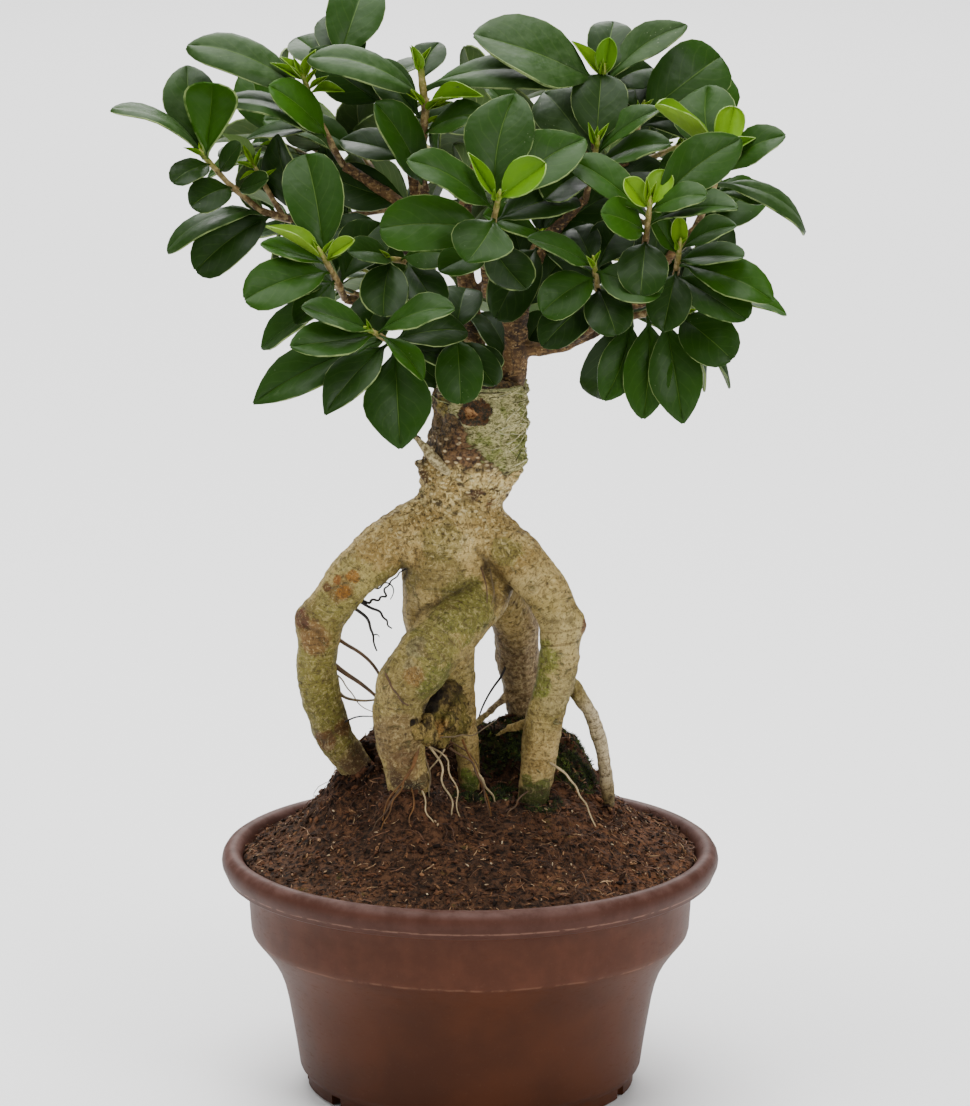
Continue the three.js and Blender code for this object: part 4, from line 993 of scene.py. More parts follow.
KNOT_LUMPS = [
    # centre and radius in millimetres
    ((-15, -15, 157), 5.6), ((-9, -12, 152), 6.6), ((-15, -17, 149), 5.6), ((-6, -7, 157), 5.5),
    ((-11, -14, 145), 3.6), ((-4, -8, 150), 4.8), ((-9, -18, 154), 3.4), ((-13, -20, 150), 3.0),
    ((-20.5, -30, 152.5), 3.8), ((-22.5, -32, 156), 2.4), ((-17, -26, 150), 4.0), ((-18, -26, 155), 3.2),
    ((-12, -11, 162.5), 5.2), ((-8, -6, 162), 5.0), ((-15, -12, 161), 4.6),
]
lumps_made = []
for centre, radius in KNOT_LUMPS:
    bpy.ops.mesh.primitive_ico_sphere_add(
        subdivisions=3, radius=radius * MM, location=[c * MM for c in centre])
    lumps_made.append(bpy.context.object)
knot = joined(lumps_made)
knot.name = "root_knot"
place_in_mesh(knot)
remesh(knot, voxel=0.6, passes=4)
points = coordinates(knot) / MM
rough = np.array([
    1.1 * noise.fractal(Vector(p) * 0.22, 0.8, 2.1, 4)
    + 0.9 * noise.noise(Vector((p[0] * 0.5, p[1] * 0.5, p[2] * 0.16))) for p in points])
swell(knot, points, rough)

tissue = Finish("dead root tissue")
spot = tissue.place()
lumpy = tissue.speckle(spot, 230, 5, 0.65)
grain = tissue.speckle(tissue.stretched(spot, (1, 1, 0.6)), 800, 4, 0.7)
tint = tissue.painted(
    tissue.between(lumpy.ramp(0.42, 0.58), (62, 50, 25), (136, 116, 64)),
    (tissue.speckle(spot, 120, 3).ramp(0.50, 0.64) * 0.65, (98, 90, 38)),
    (near(tissue, (-11, -21, 151), 1.5, 5.5) * lumpy.ramp(0.42, 0.54) * 0.8, (150, 108, 56)),
    (grain.ramp(0.48, 0.39) * 0.8, (36, 26, 13)),
    (grain.ramp(0.56, 0.66) * 0.6, (180, 152, 96)),
    # painted shade: the knot's top, where it meets the roots, made darker
    (tissue.split(spot)[2].ramp(0.156, 0.164) * 0.6, (38, 28, 16)))
# painted shade: near black in the knot's hollows
for centre, reach in ((-17, -20, 162), 9), ((-14, -16, 165), 6), ((-23, -35, 158), 4):
    hollow = (near(tissue, centre, 0.2 * reach, reach) + (lumpy - 0.5) * 1.5).ramp(0.3, 0.6)
    tint = tissue.painted(tint, (hollow * 0.9, (18, 12, 8)))
tissue.relief((lumpy, 0.9, 0.0020), (grain, 0.9, 0.0008))
knot.data.materials.append(tissue.surface(Base_Color=tint, Roughness=0.85, Specular_IOR_Level=0.2))
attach(knot, "root")


# Hair roots: thin aerial and feeding roots that cross the gaps, cling to the twisted root and
# hang round the foot of the thick ones. Each is a tapering thread that starts in the bark.

HAIR_ROOTS = [
    # name, radius at the thick end, colour, points in millimetres
    ("arching", 0.85, "brown", [(-54, -8, 185), (-50, -9, 183), (-44, -10, 180), (-38, -12, 175),
     (-34, -15, 168), (-30, -18, 162), (-24, -22, 157), (-20, -24, 155)]),
    ("crossing", 1.15, "brown", [(-55, -8, 174), (-50, -9, 171), (-44, -12, 168), (-38, -16, 164),
     (-33, -19, 160)]),
    ("level", 0.75, "grey", [(-55, -7, 162), (-51, -8, 161), (-46, -10, 160), (-39, -15, 161),
     (-33, -19, 163)]),
    ("upper_one", 0.75, "dark", [(-45, -7, 196), (-42, -8, 194.7), (-40, -8.5, 192), (-39.6, -8.5, 189),
     (-38.3, -9, 186.5), (-38.4, -9, 183), (-37, -9, 180)]),
    ("upper_two", 0.65, "dark", [(-42, -7, 198), (-39.7, -8, 197.2), (-35.5, -9, 196.4), (-34.6, -9, 193.6),
     (-32.6, -9, 192.4), (-33, -9, 190.2), (-31, -8, 189)]),
    ("jagged", 0.6, "dark", [(-42, -6, 200), (-39.7, -8, 198.4), (-39.2, -8, 201.2), (-36, -8, 200),
     (-35.6, -8, 202.2), (-32.6, -8, 201.6), (-34.6, -8, 205), (-32, -8, 206.4), (-31.4, -8, 208.6),
     (-28.6, -8, 210), (-28.2, -8, 212), (-25, -7, 213)]),
    ("jagged_two", 0.45, "dark", [(-37, -6, 203), (-36.2, -8, 204.4), (-34, -8, 208.2), (-30.6, -8, 206.6),
     (-30, -9, 203.4), (-31.6, -9, 201)]),
    ("jagged_three", 0.4, "dark", [(-33, -7, 207), (-30.4, -8, 210.6), (-30.8, -8, 213), (-27.4, -8, 214.6),
     (-25, -7, 216)]),
    ("barb_one", 0.35, "dark", [(-38.3, -9, 186.5), (-36.6, -9, 187.4), (-36, -9, 185.6)]),
    ("level_two", 0.35, "grey", [(-54, -7, 170), (-51, -8, 168.6), (-49.4, -10, 165.6), (-46.6, -13, 163.4),
     (-44, -16, 159.4), (-39, -19, 157.6), (-35, -21, 157)]),
    ("low_left", 0.45, "dark", [(-54, -7, 151), (-50, -9, 151), (-45, -12, 154), (-40, -16, 155),
     (-35, -20, 156)]),
    ("hanging_one", 0.55, "pale", [(-14, -18, 147), (-15, -23, 143), (-10, -27, 137), (-12, -28, 131),
     (-6, -30, 124), (-8, -31, 118), (-5, -33, 110)]),
    ("hanging_two", 0.42, "pale", [(-12, -17, 146), (-8, -22, 141), (-9, -25, 134), (-4, -27, 128),
     (-6, -29, 121), (-2, -31, 114), (-4, -32, 108)]),
    ("hanging_three", 0.45, "grey", [(-16, -20, 146), (-18, -24, 140), (-15, -27, 133), (-17, -29, 126),
     (-13, -30, 119), (-12, -32, 110)]),
    ("wisp_one", 0.4, "pale", [(-10, -18, 142), (-13, -22, 138), (-17, -26, 135), (-19, -29, 130)]),
    ("wisp_two", 0.35, "brown", [(-8, -17, 145), (-3, -20, 143), (2, -20, 139), (4, -20, 133)]),
    ("slanting", 0.55, "orange", [(-18, -31, 147), (-21, -33, 141), (-25, -34, 134), (-31, -34, 128),
     (-34, -35, 122), (-35, -36, 114)]),
    ("reddish", 0.55, "orange", [(-3, -18, 146), (-1, -20, 141), (2, -22, 136), (4, -23, 130),
     (8, -25, 122), (9, -26, 112)]),
    ("straw", 0.55, "pale", [(32, -16, 136), (35, -18.5, 134.4), (38, -19.5, 132.6), (40, -20, 129.6),
     (42.4, -21, 127.4), (43.6, -22, 123.6), (46.4, -23, 121), (47.6, -24, 116.6), (50, -25, 112)]),
    ("strand_one", 0.5, "brown", [(-8, -20, 143), (-4, -22, 140.6), (-1.4, -23, 140), (1.6, -23, 137.4),
     (2.4, -24, 133), (5.4, -24, 129.6), (5.8, -25, 124), (8, -26, 118), (8.6, -26, 110)]),
    ("strand_two", 0.45, "orange", [(-20, -28, 147), (-22, -32, 143), (-22.6, -34.5, 138.6),
     (-26, -36, 135), (-26.6, -37, 130), (-30.6, -38, 126.6), (-31.4, -39, 121), (-35, -40, 117),
     (-36, -40, 110)]),
    ("strand_three", 0.4, "grey", [(-12, -20, 149), (-7, -22, 147.6), (-3, -21, 149), (1, -19, 147.4),
     (5, -15, 149.4), (10, -8, 151)]),
    ("behind", 0.6, "dark", [(17, 24, 167), (13, 19, 163), (9, 15, 159), (5, 13, 152), (3, 12, 146),
     (2, 12, 138)]),
    ("foot_one", 0.45, "brown", [(-28, -32, 129), (-31, -36, 126), (-33, -38, 121), (-38, -38, 117),
     (-39, -37, 110)]),
    ("foot_two", 0.4, "pale", [(-19, -29, 128), (-17, -34, 126), (-18, -38, 121), (-13, -38, 117),
     (-14, -38, 109)]),
    ("armpit_one", 0.45, "brown", [(4, -14, 216), (6, -18.5, 211), (7, -20, 207), (9, -21, 202)]),
    ("armpit_two", 0.35, "grey", [(8, -11, 214), (9, -16.5, 209), (10, -19, 205), (11, -19, 201)]),
    ("foot_six", 0.35, "orange", [(-23, -33, 129), (-21, -37, 124), (-25, -41, 119), (-21, -43, 114),
     (-24, -45, 106)]),
    ("foot_three", 0.55, "pale", [(2, -3, 130), (5, -6, 127.5), (6, -8, 123.5), (9.5, -10, 121),
     (10, -12, 117.5), (13.5, -14, 115), (15, -15, 111), (19, -17, 106)]),
    ("foot_four", 0.42, "brown", [(22, -17, 124), (19, -20, 122.5), (18.6, -22, 119.5), (15, -24, 118),
     (14.6, -26, 115), (12, -28, 112), (11, -29, 107)]),
    ("shoulder", 0.5, "brown", [(-43, 1, 131), (-48, -3, 126), (-52, -8, 121), (-57, -10, 114),
     (-60, -11, 108)]),
    ("shoulder_two", 0.45, "orange", [(-39, 3, 128), (-44, 5, 122), (-51, 5, 117), (-56, 3, 112)]),
]
HAIR_COLOURS = {
    "brown": srgb(88, 62, 34), "grey": srgb(112, 94, 64), "dark": srgb(26, 18, 13),
    "pale": srgb(188, 166, 124), "orange": srgb(112, 72, 24),
}


def tube(name, points, radii, sides=6):
    """A smooth closed tube along points in millimetres, with a radius at each."""
    line = bpy.data.curves.new(name, "CURVE")
    line.dimensions = "3D"
    line.bevel_depth = MM
    line.bevel_resolution = max(0, sides // 2 - 2)
    line.resolution_u = 4
    line.use_fill_caps = True
    spline = line.splines.new("NURBS")
    spline.points.add(len(points) - 1)
    for point, place, radius in zip(spline.points, points, radii):
        point.co = (*(c * MM for c in place), 1)
        point.radius = radius
    spline.order_u = 3
    spline.use_endpoint_u = True
    pick(piece_of(name, line))
    bpy.ops.object.convert(target="MESH")
    piece = bpy.context.object
    clean_shell(piece)
    smooth(piece, 60)
    return piece


bark_shell = shell_of(rootstock)


def rooted(point, reach):
    """The place just inside the bark nearest to a point, or the point itself beyond reach."""
    found, normal = bark_shell.find_nearest(Vector(point) * MM, reach * MM)[:2]
    return point if found is None else tuple((found - normal * 0.6 * MM) / MM)


def on_bark(x, z):
    """The place on the bark that the camera sees past x and z, in millimetres, a little off it."""
    found, normal = bark_shell.ray_cast(Vector((x, -60, z)) * MM, Vector((0, 1, -0.218)))[:2]
    return tuple((found + normal * 0.3 * MM) / MM)


CLINGING = [
    (-33.6, 184.6), (-32.8, 181.6), (-31.4, 179.4), (-30.4, 176.6), (-28.4, 174.6), (-26.8, 171.2),
    (-24.2, 169.8), (-21.4, 168.6),
]
HAIR_ROOTS.append(("clinging", 0.6, "brown", [on_bark(x, z) for x, z in CLINGING]))


def mottled_finish(name, dark, light, share, *speckle, bump=None, **values):
    """A material of two colours in one speckle, with a bump of (strength, distance) if any."""
    finish = Finish(name)
    uneven = finish.speckle(finish.place(), *speckle)
    if bump:
        finish.relief((uneven, *bump))
    return finish.surface(Base_Color=finish.mix(uneven.ramp(*share), dark, light), **values)


def shaded(colour, share):
    return tuple(share * c for c in colour)


hair_materials = {
    name: mottled_finish(name + " hair root", shaded(colour, 0.55), colour, (0.35, 0.65), 300, 4, 0.6,
                         bump=(0.5, 0.0004), Roughness=0.7)
    for name, colour in HAIR_COLOURS.items()}

for name, thickness, colour, path in HAIR_ROOTS:
    last = len(path) - 1
    path = [rooted(path[0], reach=8), *path[1:-1], rooted(path[-1], reach=3.5)]
    radii = [thickness * (1 - 0.55 * i / last) for i in range(last + 1)]
    hair = tube("hair_root_" + name, path, radii)
    hair.data.materials.append(hair_materials[colour])
    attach(hair, "root")


# Grafting tape: dry fibrous tape wound round the graft, weathered to pale green, with threads
# that run round the trunk and fray on its right side. Beside it a dry strip of bark stands off.

WINDING_TOP, TRUNK_X, CLEAR_OF_TRUNK = 287.2, 4, 45


def on_trunk(turn, height, lift):
    """The place on the trunk's bark at a bearing in degrees, lifted off it, in millimetres."""
    out = Vector((math.cos(math.radians(turn)), math.sin(math.radians(turn)), 0))
    start = Vector((TRUNK_X, 0, height)) + out * CLEAR_OF_TRUNK
    found = bark_shell.ray_cast(start * MM, -out, 60 * MM)[0]
    return None if found is None else found / MM + out * lift


def wound(name, colour, count, top, seed):
    """Threads laid over the bark, as one piece: round the cut top, or else over the tape."""
    chance = random.Random(seed)
    laid_threads = []
    while len(laid_threads) < count:
        turn, height = chance.uniform(-118, 70), chance.uniform(TAPE_FOOT, 286)
        slope = chance.uniform(-0.5, 0.5)
        if top:
            turn, height = chance.uniform(-180, 180), chance.uniform(280.5, 287)
            slope = chance.uniform(-0.06, 0.06)
        steps = chance.randrange(4, 8) + (4 if top else 0)
        path = []
        for _ in range(steps):
            place = on_trunk(turn, min(height, WINDING_TOP), chance.uniform(0.1, 0.5))
            if place is None or (place - Vector(GRAFT_EYE)).length < 8:
                break
            if not top and turn < 0 and place.x + TAPE_SLOPE * place.z < TAPE_LEVEL + 2:
                break
            path.append(tuple(place))
            turn += 9 + 5 * chance.random()
            height += slope * 4 + chance.uniform(-0.9, 0.9) * (0.25 if top else 1)
            if height < TAPE_FOOT - 1.5:
                break
        if len(path) > 2:
            radius = chance.uniform(0.12, 0.26)
            radii = [radius] * (len(path) - 1) + [radius * 0.4]
            laid_threads.append(tube(f"thread_{len(laid_threads)}", path, radii, sides=4))
    threads = joined(laid_threads)
    threads.name = name
    threads.data.materials.append(mottled_finish(
        name.replace("_", " "), shaded(colour, 0.5), colour, (0.35, 0.62), 420, 3, Roughness=0.85,
        Specular_IOR_Level=0.2))
    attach(threads, "root")


wound("tape_threads_pale", srgb(214, 208, 162), count=52, top=False, seed=3)
wound("tape_threads_green", srgb(128, 134, 66), count=20, top=False, seed=4)
wound("tape_threads_dark", srgb(56, 50, 30), count=8, top=False, seed=5)
wound("tape_windings_dark", srgb(62, 56, 38), count=18, top=True, seed=6)
wound("tape_windings_pale", srgb(160, 160, 112), count=20, top=True, seed=7)

STRIP_MIDDLE_Y, FLATNESS = -0.0145, 0.55
spike = tube(
    "dry_strip", [(-6, -14, 251), (-10, -16, 255), (-14, -16, 259), (-18, -14, 264), (-21, -11, 267)],
    [0.9, 1.9, 2.5, 1.7, 0.9], sides=8)
points = coordinates(spike)
points[:, 1] = STRIP_MIDDLE_Y + (points[:, 1] - STRIP_MIDDLE_Y) * FLATNESS
set_coordinates(spike, points)
spike.data.materials.append(mottled_finish(
    "dry split bark", srgb(92, 76, 44), srgb(190, 176, 130), (0.38, 0.66), 500, 4, 0.7,
    bump=(0.8, 0.0006), Roughness=0.85))
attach(spike, "root")
char = tube("dry_strip_tip", [(-20, -11.6, 266), (-22, -10.5, 268), (-24.4, -9, 267.4)], [1.3, 1.1, 0.4])
char.data.materials.append(mottled_finish(
    "black dead tip", srgb(12, 10, 8), srgb(40, 34, 28), (0.4, 0.7), 700, 3, Roughness=0.8))
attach(char, "root")


# Scions: three branches of the small-leaved variety, grafted on the trunk's cut top, with
# forks, brown bark and the ring scars of fallen leaves.

wood = Finish("branch bark")
spot = wood.place()
grain = wood.speckle(wood.stretched(spot, (1, 1, 2.5)), 420, 5, 0.65)
blotch = wood.speckle(spot, 95, 4, 0.6)
dots = wood.cells(spot, 520)
cracks = wood.speckle(wood.stretched(spot, (1, 1, 0.4), (2, 5, 1)), 520, 4, 0.62, 1.2)
tint = wood.painted(
    wood.between(blotch.ramp(0.35, 0.65), (46, 31, 17), (98, 71, 40)),
    (grain.ramp(0.48, 0.64) * 0.75, (146, 114, 70)),
    (dots.ramp(0.24, 0.12) * 0.65, (172, 142, 96)),
    (cracks.ramp(0.46, 0.38) * 0.7, (30, 20, 11)))
wood.relief((blotch, 0.7, 0.0014), (grain, 0.8, 0.0007), (cracks, 0.7, 0.0007), (dots, 0.4, 0.0004))
wood_material = wood.surface(
    Base_Color=tint, Roughness=(0.6 + 0.2 * grain).clamped(), Specular_IOR_Level=0.3)

for side in ("left", "right", "back"):
    scion = copy_of("scion_" + side, f"scion_{side}_bark")
    remesh(scion, voxel=0.7, passes=4)
    points = coordinates(scion) / MM
    swell(scion, points, np.array([
        0.35 * noise.fractal(Vector((p[0], p[1], 1.6 * p[2])) * 0.22, 0.8, 2.0, 3) for p in points]))
    scion.data.materials.append(wood_material)
    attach(scion, "root")
    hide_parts("scion_" + side)


# Leafy shoots towards the front: each is a thin green-brown twig with a pointed bud, and leathery
# oval leaves on short stalks. Old leaves are dark with a waxy bloom and a painted sheen, young ones
# yellow-green and cupped. A leaf grows out of its twig, and stands where the shoot's own solid has it.

SHOOTS = {
    # name: (twig from the branch to the bud, leaves as kind, distance back from the bud, clock
    # angle, lean to the front, length, width and upward turn), in millimetres and degrees
    "left_tip": ([(-66, -14, 353), (-81, -19, 358), (-94, -23, 370), (-103, -26, 381)], [
        ("s", 1, 148, 14, 41, 20, 80), ("h", 2, 84, -6, 28, 22, 15), ("s", 0, 102, -30, 38, 22, 20),
        ("d", 5, 196, 50, 22, 12, 40), ("d", 18, 196, 50, 25, 15, 35), ("d", 10, 55, 20, 16, 10, 40),
        ("d", 20, 25, 30, 16, 10, 40), ("s", 33, 199, 15, 40, 19, 78), ("d", 38, 214, 19, 38, 20, 40),
    ]),
    "left_front": ([(-48, -34, 326), (-51, -42, 334), (-56, -50, 345)], [
        ("g", 1, 101, -24, 42, 24, 15), ("y", 2, 148, 12, 27, 12, 62), ("f", 5, 160, 14, 28, 12, 60),
        ("g", 9, 192, 34, 40, 20, 40), ("g", 16, 182, 36, 40, 18, 50), ("d", 18, 54, -38, 34, 20, 30),
        ("y", 2, 35, 15, 15, 8, 40), ("d", 13, 225, 40, 27, 15, 40),
    ]),
    "low_left": ([(-26, -44, 309), (-31, -54, 313), (-37, -62, 318)], [
        ("g", 2, 156, 24, 33, 17, 60), ("g", 4, 182, 30, 38, 19, 50), ("g", 8, 204, 14, 56, 22, 35),
        ("d", 13, 222, 36, 44, 19, 50), ("g", 16, 274, 28, 42, 26, 20), ("f", 3, 318, 24, 26, 12, 65),
        ("g", 3, 24, 22, 34, 17, 55), ("d", 12, 6, -20, 31, 16, 45), ("d", 17, 344, -22, 30, 15, 40),
    ]),
    "low_centre": ([(3, -24, 305), (-2, -34, 309), (-6, -42, 314)], [
        ("g", 3, 258, 24, 34, 18, 30), ("d", 1, 75, -50, 25, 16, 35), ("d", 7, 300, 44, 25, 14, 30),
        ("d", 12, 330, 40, 20, 10, 45),
    ]),
    "inner_left": ([(-17, -6, 336), (-24, -24, 339), (-31, -36, 342)], [
        ("d", 2, 262, 46, 28, 20, 35), ("g", 8, 11, 37, 28, 16, 40), ("d", 4, 160, 46, 26, 14, 40),
        ("d", 13, 308, 42, 31, 17, 35),
    ]),
    "top_left": ([(-49, -6, 374), (-53, -9, 381), (-60, -12, 396), (-64, -14, 409)], [
        ("s", 9, 154, 4, 52, 21, 52), ("s", 30, 152, 15, 47, 19, 70), ("f", 26, 134, 26, 35, 18, 45),
        ("y", 1, 135, 10, 14, 7, 50), ("y", 1, 71, 15, 14, 7, 50), ("y", 6, 5, 20, 15, 8, 50),
        ("d", 22, 192, -22, 36, 17, 60),
    ]),
    "crest": ([(-26, 2, 391), (-39, 5, 401), (-53, 8, 411)], [
        ("g", 1, 70, -34, 40, 23, 15), ("d", 3, 150, -48, 31, 18, 35), ("d", 10, 112, -46, 34, 20, 30),
    ]),
    "leader": ([(-18, -8, 364), (-19, -10, 377), (-17, -13, 397), (-19, -16, 414)], [
        ("s", 14, 157, 8, 48, 20, 58), ("d", 7, 66, -45, 22, 14, 25), ("s", 9, 5, 4, 54, 21, 58),
        ("g", 28, 26, 36, 32, 15, 45), ("y", 16, 14, 22, 28, 12, 50), ("g", 50, 158, 24, 44, 21, 50),
        ("y", 3, 108, 20, 13, 7, 40), ("d", 38, 170, -27, 36, 18, 40), ("d", 22, 130, -26, 32, 16, 35),
    ]),
    "centre": ([(6, -26, 337), (8, -40, 346), (9, -52, 358), (11, -62, 369)], [
        ("g", 5, 80, -26, 46, 28, 15), ("y", 1, 122, -4, 24, 10, 30), ("y", 1, 38, 8, 26, 19, 35),
        ("g", 8, 145, 17, 41, 19, 50), ("g", 11, 234, 48, 26, 25, 22), ("g", 6, 35, -28, 47, 24, 30),
        ("d", 14, 14, -28, 38, 18, 45), ("g", 20, 176, 14, 44, 23, 32), ("g", 34, 192, 44, 27, 15, 35),
        ("d", 28, 314, 48, 29, 18, 30),
    ]),
    "top_right": ([(49, 2, 388), (51, -2, 399), (52, -6, 409)], [
        ("s", 4, 157, 3, 55, 23, 46), ("d", 3, 78, -40, 30, 18, 30), ("y", 1, 130, 0, 19, 9, 45),
        ("y", 1, 81, 10, 17, 10, 35), ("s", 6, 36, -12, 42, 16, 68), ("g", 11, 148, -38, 34, 18, 40),
        ("d", 9, 22, -44, 31, 18, 40),
    ]),
    "mid_right": ([(45, -8, 361), (47, -18, 371), (49, -26, 384)], [
        ("d", 2, 92, -32, 33, 23, 20), ("s", 5, 130, -33, 36, 22, 25), ("g", 6, 38, 8, 33, 15, 58),
        ("g", 12, 24, 20, 34, 16, 58), ("d", 15, 152, -40, 36, 19, 40), ("d", 10, 205, 40, 34, 18, 35),
    ]),
    "crown_right": ([(62, 8, 374), (65, 4, 385), (67, 0, 394)], [
        ("g", 3, 52, -34, 42, 28, 15), ("d", 1, 108, -50, 34, 20, 30), ("d", 7, 355, -36, 33, 19, 40),
        ("d", 11, 140, -48, 34, 19, 40),
    ]),
    "right_tip": ([(88, -6, 349), (94, -14, 364), (98, -22, 379)], [
        ("s", 12, 331, -24, 47, 17, 60), ("g", 18, 352, -24, 26, 14, 50), ("g", 8, 36, 24, 33, 17, 48),
        ("y", 3, 139, 14, 38, 16, 75), ("y", 1, 76, -24, 22, 14, 30), ("y", 1, 30, 20, 17, 9, 50),
        ("g", 4, 98, -36, 36, 26, 15), ("g", 14, 156, 36, 29, 17, 45),
    ]),
    "right_front": ([(66, -26, 339), (68, -38, 350), (69, -48, 364)], [
        ("y", 1, 64, -20, 18, 14, 35), ("y", 2, 128, 6, 16, 11, 35), ("g", 6, 144, -34, 38, 18, 55),
        ("g", 3, 24, 30, 26, 14, 50), ("g", 10, 16, 30, 40, 19, 58), ("g", 4, 38, -30, 46, 21, 35),
        ("f", 14, 150, 36, 25, 18, 35), ("d", 18, 262, 50, 27, 20, 30),
    ]),
    "low_right": ([(52, -20, 315), (50, -34, 327), (48, -46, 341)], [
        ("g", 2, 152, 24, 32, 16, 48), ("g", 7, 207, 38, 30, 18, 35), ("d", 18, 217, 32, 32, 18, 35),
        ("g", 3, 343, 28, 28, 20, 35), ("d", 13, 295, 50, 25, 19, 30), ("d", 1, 120, -48, 23, 15, 35),
        ("d", 5, 55, -42, 27, 18, 35),
    ]),
    "far_right": ([(77, -16, 324), (80, -26, 333), (81, -36, 346)], [
        ("f", 4, 122, 24, 22, 11, 50), ("g", 2, 28, 20, 26, 15, 52), ("g", 7, 8, 27, 28, 15, 52),
        ("f", 9, 344, 24, 41, 18, 46), ("g", 15, 332, 34, 36, 20, 35), ("y", 1, 91, 10, 14, 8, 35),
        ("d", 12, 254, 46, 30, 18, 35), ("d", 20, 350, -26, 44, 17, 60),
    ]),
    "hanging": ([(58, -12, 317), (71, -18, 318), (83, -24, 318)], [
        ("g", 22, 250, 26, 36, 18, 20), ("g", 15, 267, 22, 42, 20, 15), ("g", 8, 280, 22, 44, 21, 15),
        ("g", 2, 325, 36, 30, 21, 20), ("d", 3, 306, 0, 36, 14, 75), ("d", 24, 240, -24, 38, 18, 25),
    ]),
}
SPROUTS = {
    # young leaves that the photograph shows, beyond the two that each bud has
    "leader": [(0, 62, 10, 9), (0, 118, 0, 9), (1, 95, 20, 8), (15, 148, 20, 13), (16, 126, 34, 11),
               (18, 22, 20, 12), (19, 48, 34, 12), (27, 158, 10, 9), (24, 30, 10, 9)],
    "top_left": [(0, 116, 10, 10), (1, 150, 16, 16), (0, 78, 6, 9), (3, 60, 12, 9), (5, 38, 20, 11)],
    "left_front": [(0, 60, 20, 9), (0, 120, 10, 8), (3, 30, 30, 8)],
    "top_right": [(0, 112, 10, 10), (0, 60, 10, 9), (1, 90, 24, 9)],
    "mid_right": [(0, 108, 16, 11), (0, 64, 12, 11), (1, 86, -6, 9)],
    "right_tip": [(0, 84, 14, 11), (0, 120, 10, 9), (1, 52, 20, 10)],
    "right_front": [(0, 96, 10, 12), (0, 76, 16, 11)],
}
LIMBS = [
    # axes of the scions' limbs with their radius, which the twigs are seated on
    [(-6, -3, 283, 6), (-8, -4, 295, 5.2), (-13, -5, 312, 4.6), (-17, -6, 332, 4),
     (-19, -8, 350, 3.4), (-18, -8, 364, 2.8)],
    [(-12, -5, 308, 3.4), (-19, -20, 306, 2.8), (-26, -44, 309, 2.2)],
    [(-15, -6, 322, 3.2), (-32, -18, 320, 2.8), (-48, -34, 326, 2.2)],
    [(-18, -8, 340, 3.2), (-40, -9, 346, 2.8), (-66, -14, 353, 2.2)],
    [(-18, -8, 353, 3), (-34, -6, 364, 2.6), (-49, -6, 374, 2.1)],
    [(-19, -7, 350, 2.8), (-23, -1, 372, 2.3), (-26, 2, 391, 2)],
    [(-10, -4, 302, 3), (-4, -14, 302, 2.4), (3, -24, 305, 2)],
    [(14, -2, 281, 6), (17, -3, 291, 5.8), (18.5, -4, 301, 5.2), (18, -5, 311, 4.8),
     (21, -3, 325, 4.1), (27, -1, 340, 3.6), (36, 2, 358, 3.2), (45, 3, 374, 2.8), (49, 2, 388, 2.3)],
    [(18, -5, 309, 3.8), (12, -8, 318, 3), (7, -14, 325, 2.6), (6, -26, 337, 2.2)],
    [(19, -4, 301, 3.8), (28, -6, 301, 3.1), (37, -8, 303, 2.9), (51, -10, 310, 2.6),
     (61, -12, 319, 2.4), (77, -16, 324, 2)],
    [(60, -12, 318, 2.5), (72, -10, 332, 2.3), (88, -6, 349, 2)],
    [(50, -10, 309, 2.5), (58, -16, 322, 2.2), (66, -26, 339, 2)],
    [(36, -8, 303, 2.6), (46, -14, 310, 2.2), (52, -20, 315, 2)],
    [(27, -1, 340, 2.7), (37, -4, 352, 2.3), (45, -8, 361, 2)],
    [(38, 2, 361, 2.6), (52, 6, 369, 2.2), (62, 8, 374, 2)],
    [(3, 9, 283, 5.6), (2, 14, 298, 4.8), (0, 22, 315, 4.2), (-3, 30, 332, 3.6),
     (-2, 34, 352, 2.8), (2, 36, 366, 2.4), (4, 36, 378, 2)],
    [(-3, 30, 331, 3.2), (-20, 38, 345, 2.8), (-38, 44, 358, 2.4), (-55, 46, 370, 2)],
    [(0, 22, 315, 3.4), (14, 34, 328, 2.8), (30, 44, 342, 2.5), (46, 50, 356, 2.2), (58, 52, 368, 2)],
    [(1, 18, 307, 3), (-10, 34, 310, 2.5), (-24, 50, 314, 2)],
    [(13, 33, 327, 2.7), (26, 50, 326, 2.3), (40, 62, 326, 2)],
]
TURNS = [
    # lean and clock turns in degrees, tried in this order until a leaf fits
    (0, 0), (6, 0), (-6, 0), (0, 7), (0, -7), (12, 0), (-12, 0), (8, 10), (-8, -10), (8, -10), (-8, 10),
    (0, 16), (0, -16), (18, 0), (-18, 0), (16, 16), (-16, -16), (16, -16), (-16, 16), (26, 0), (-26, 0),
    (0, 28), (0, -28), (26, 24), (-26, -24), (26, -24), (-26, 24), (36, 0), (-36, 0), (0, 42), (0, -42),
]
SIZES = (1, 0.86, 0.72)
FIT_GAP = 0.35
TWIG_RADIUS, LEADER_RADIUS, BUD_LENGTH = 1.7, 2.3, 6
# a leaf's tip this near a corner of its solid is found, and one this far off has no solid
FOUND_WITHIN, MISSING_BEYOND = 0.15, 3
BLADE_COLUMNS, BLADE_THICKNESS, BLADE_APART = 8, 0.017, 5

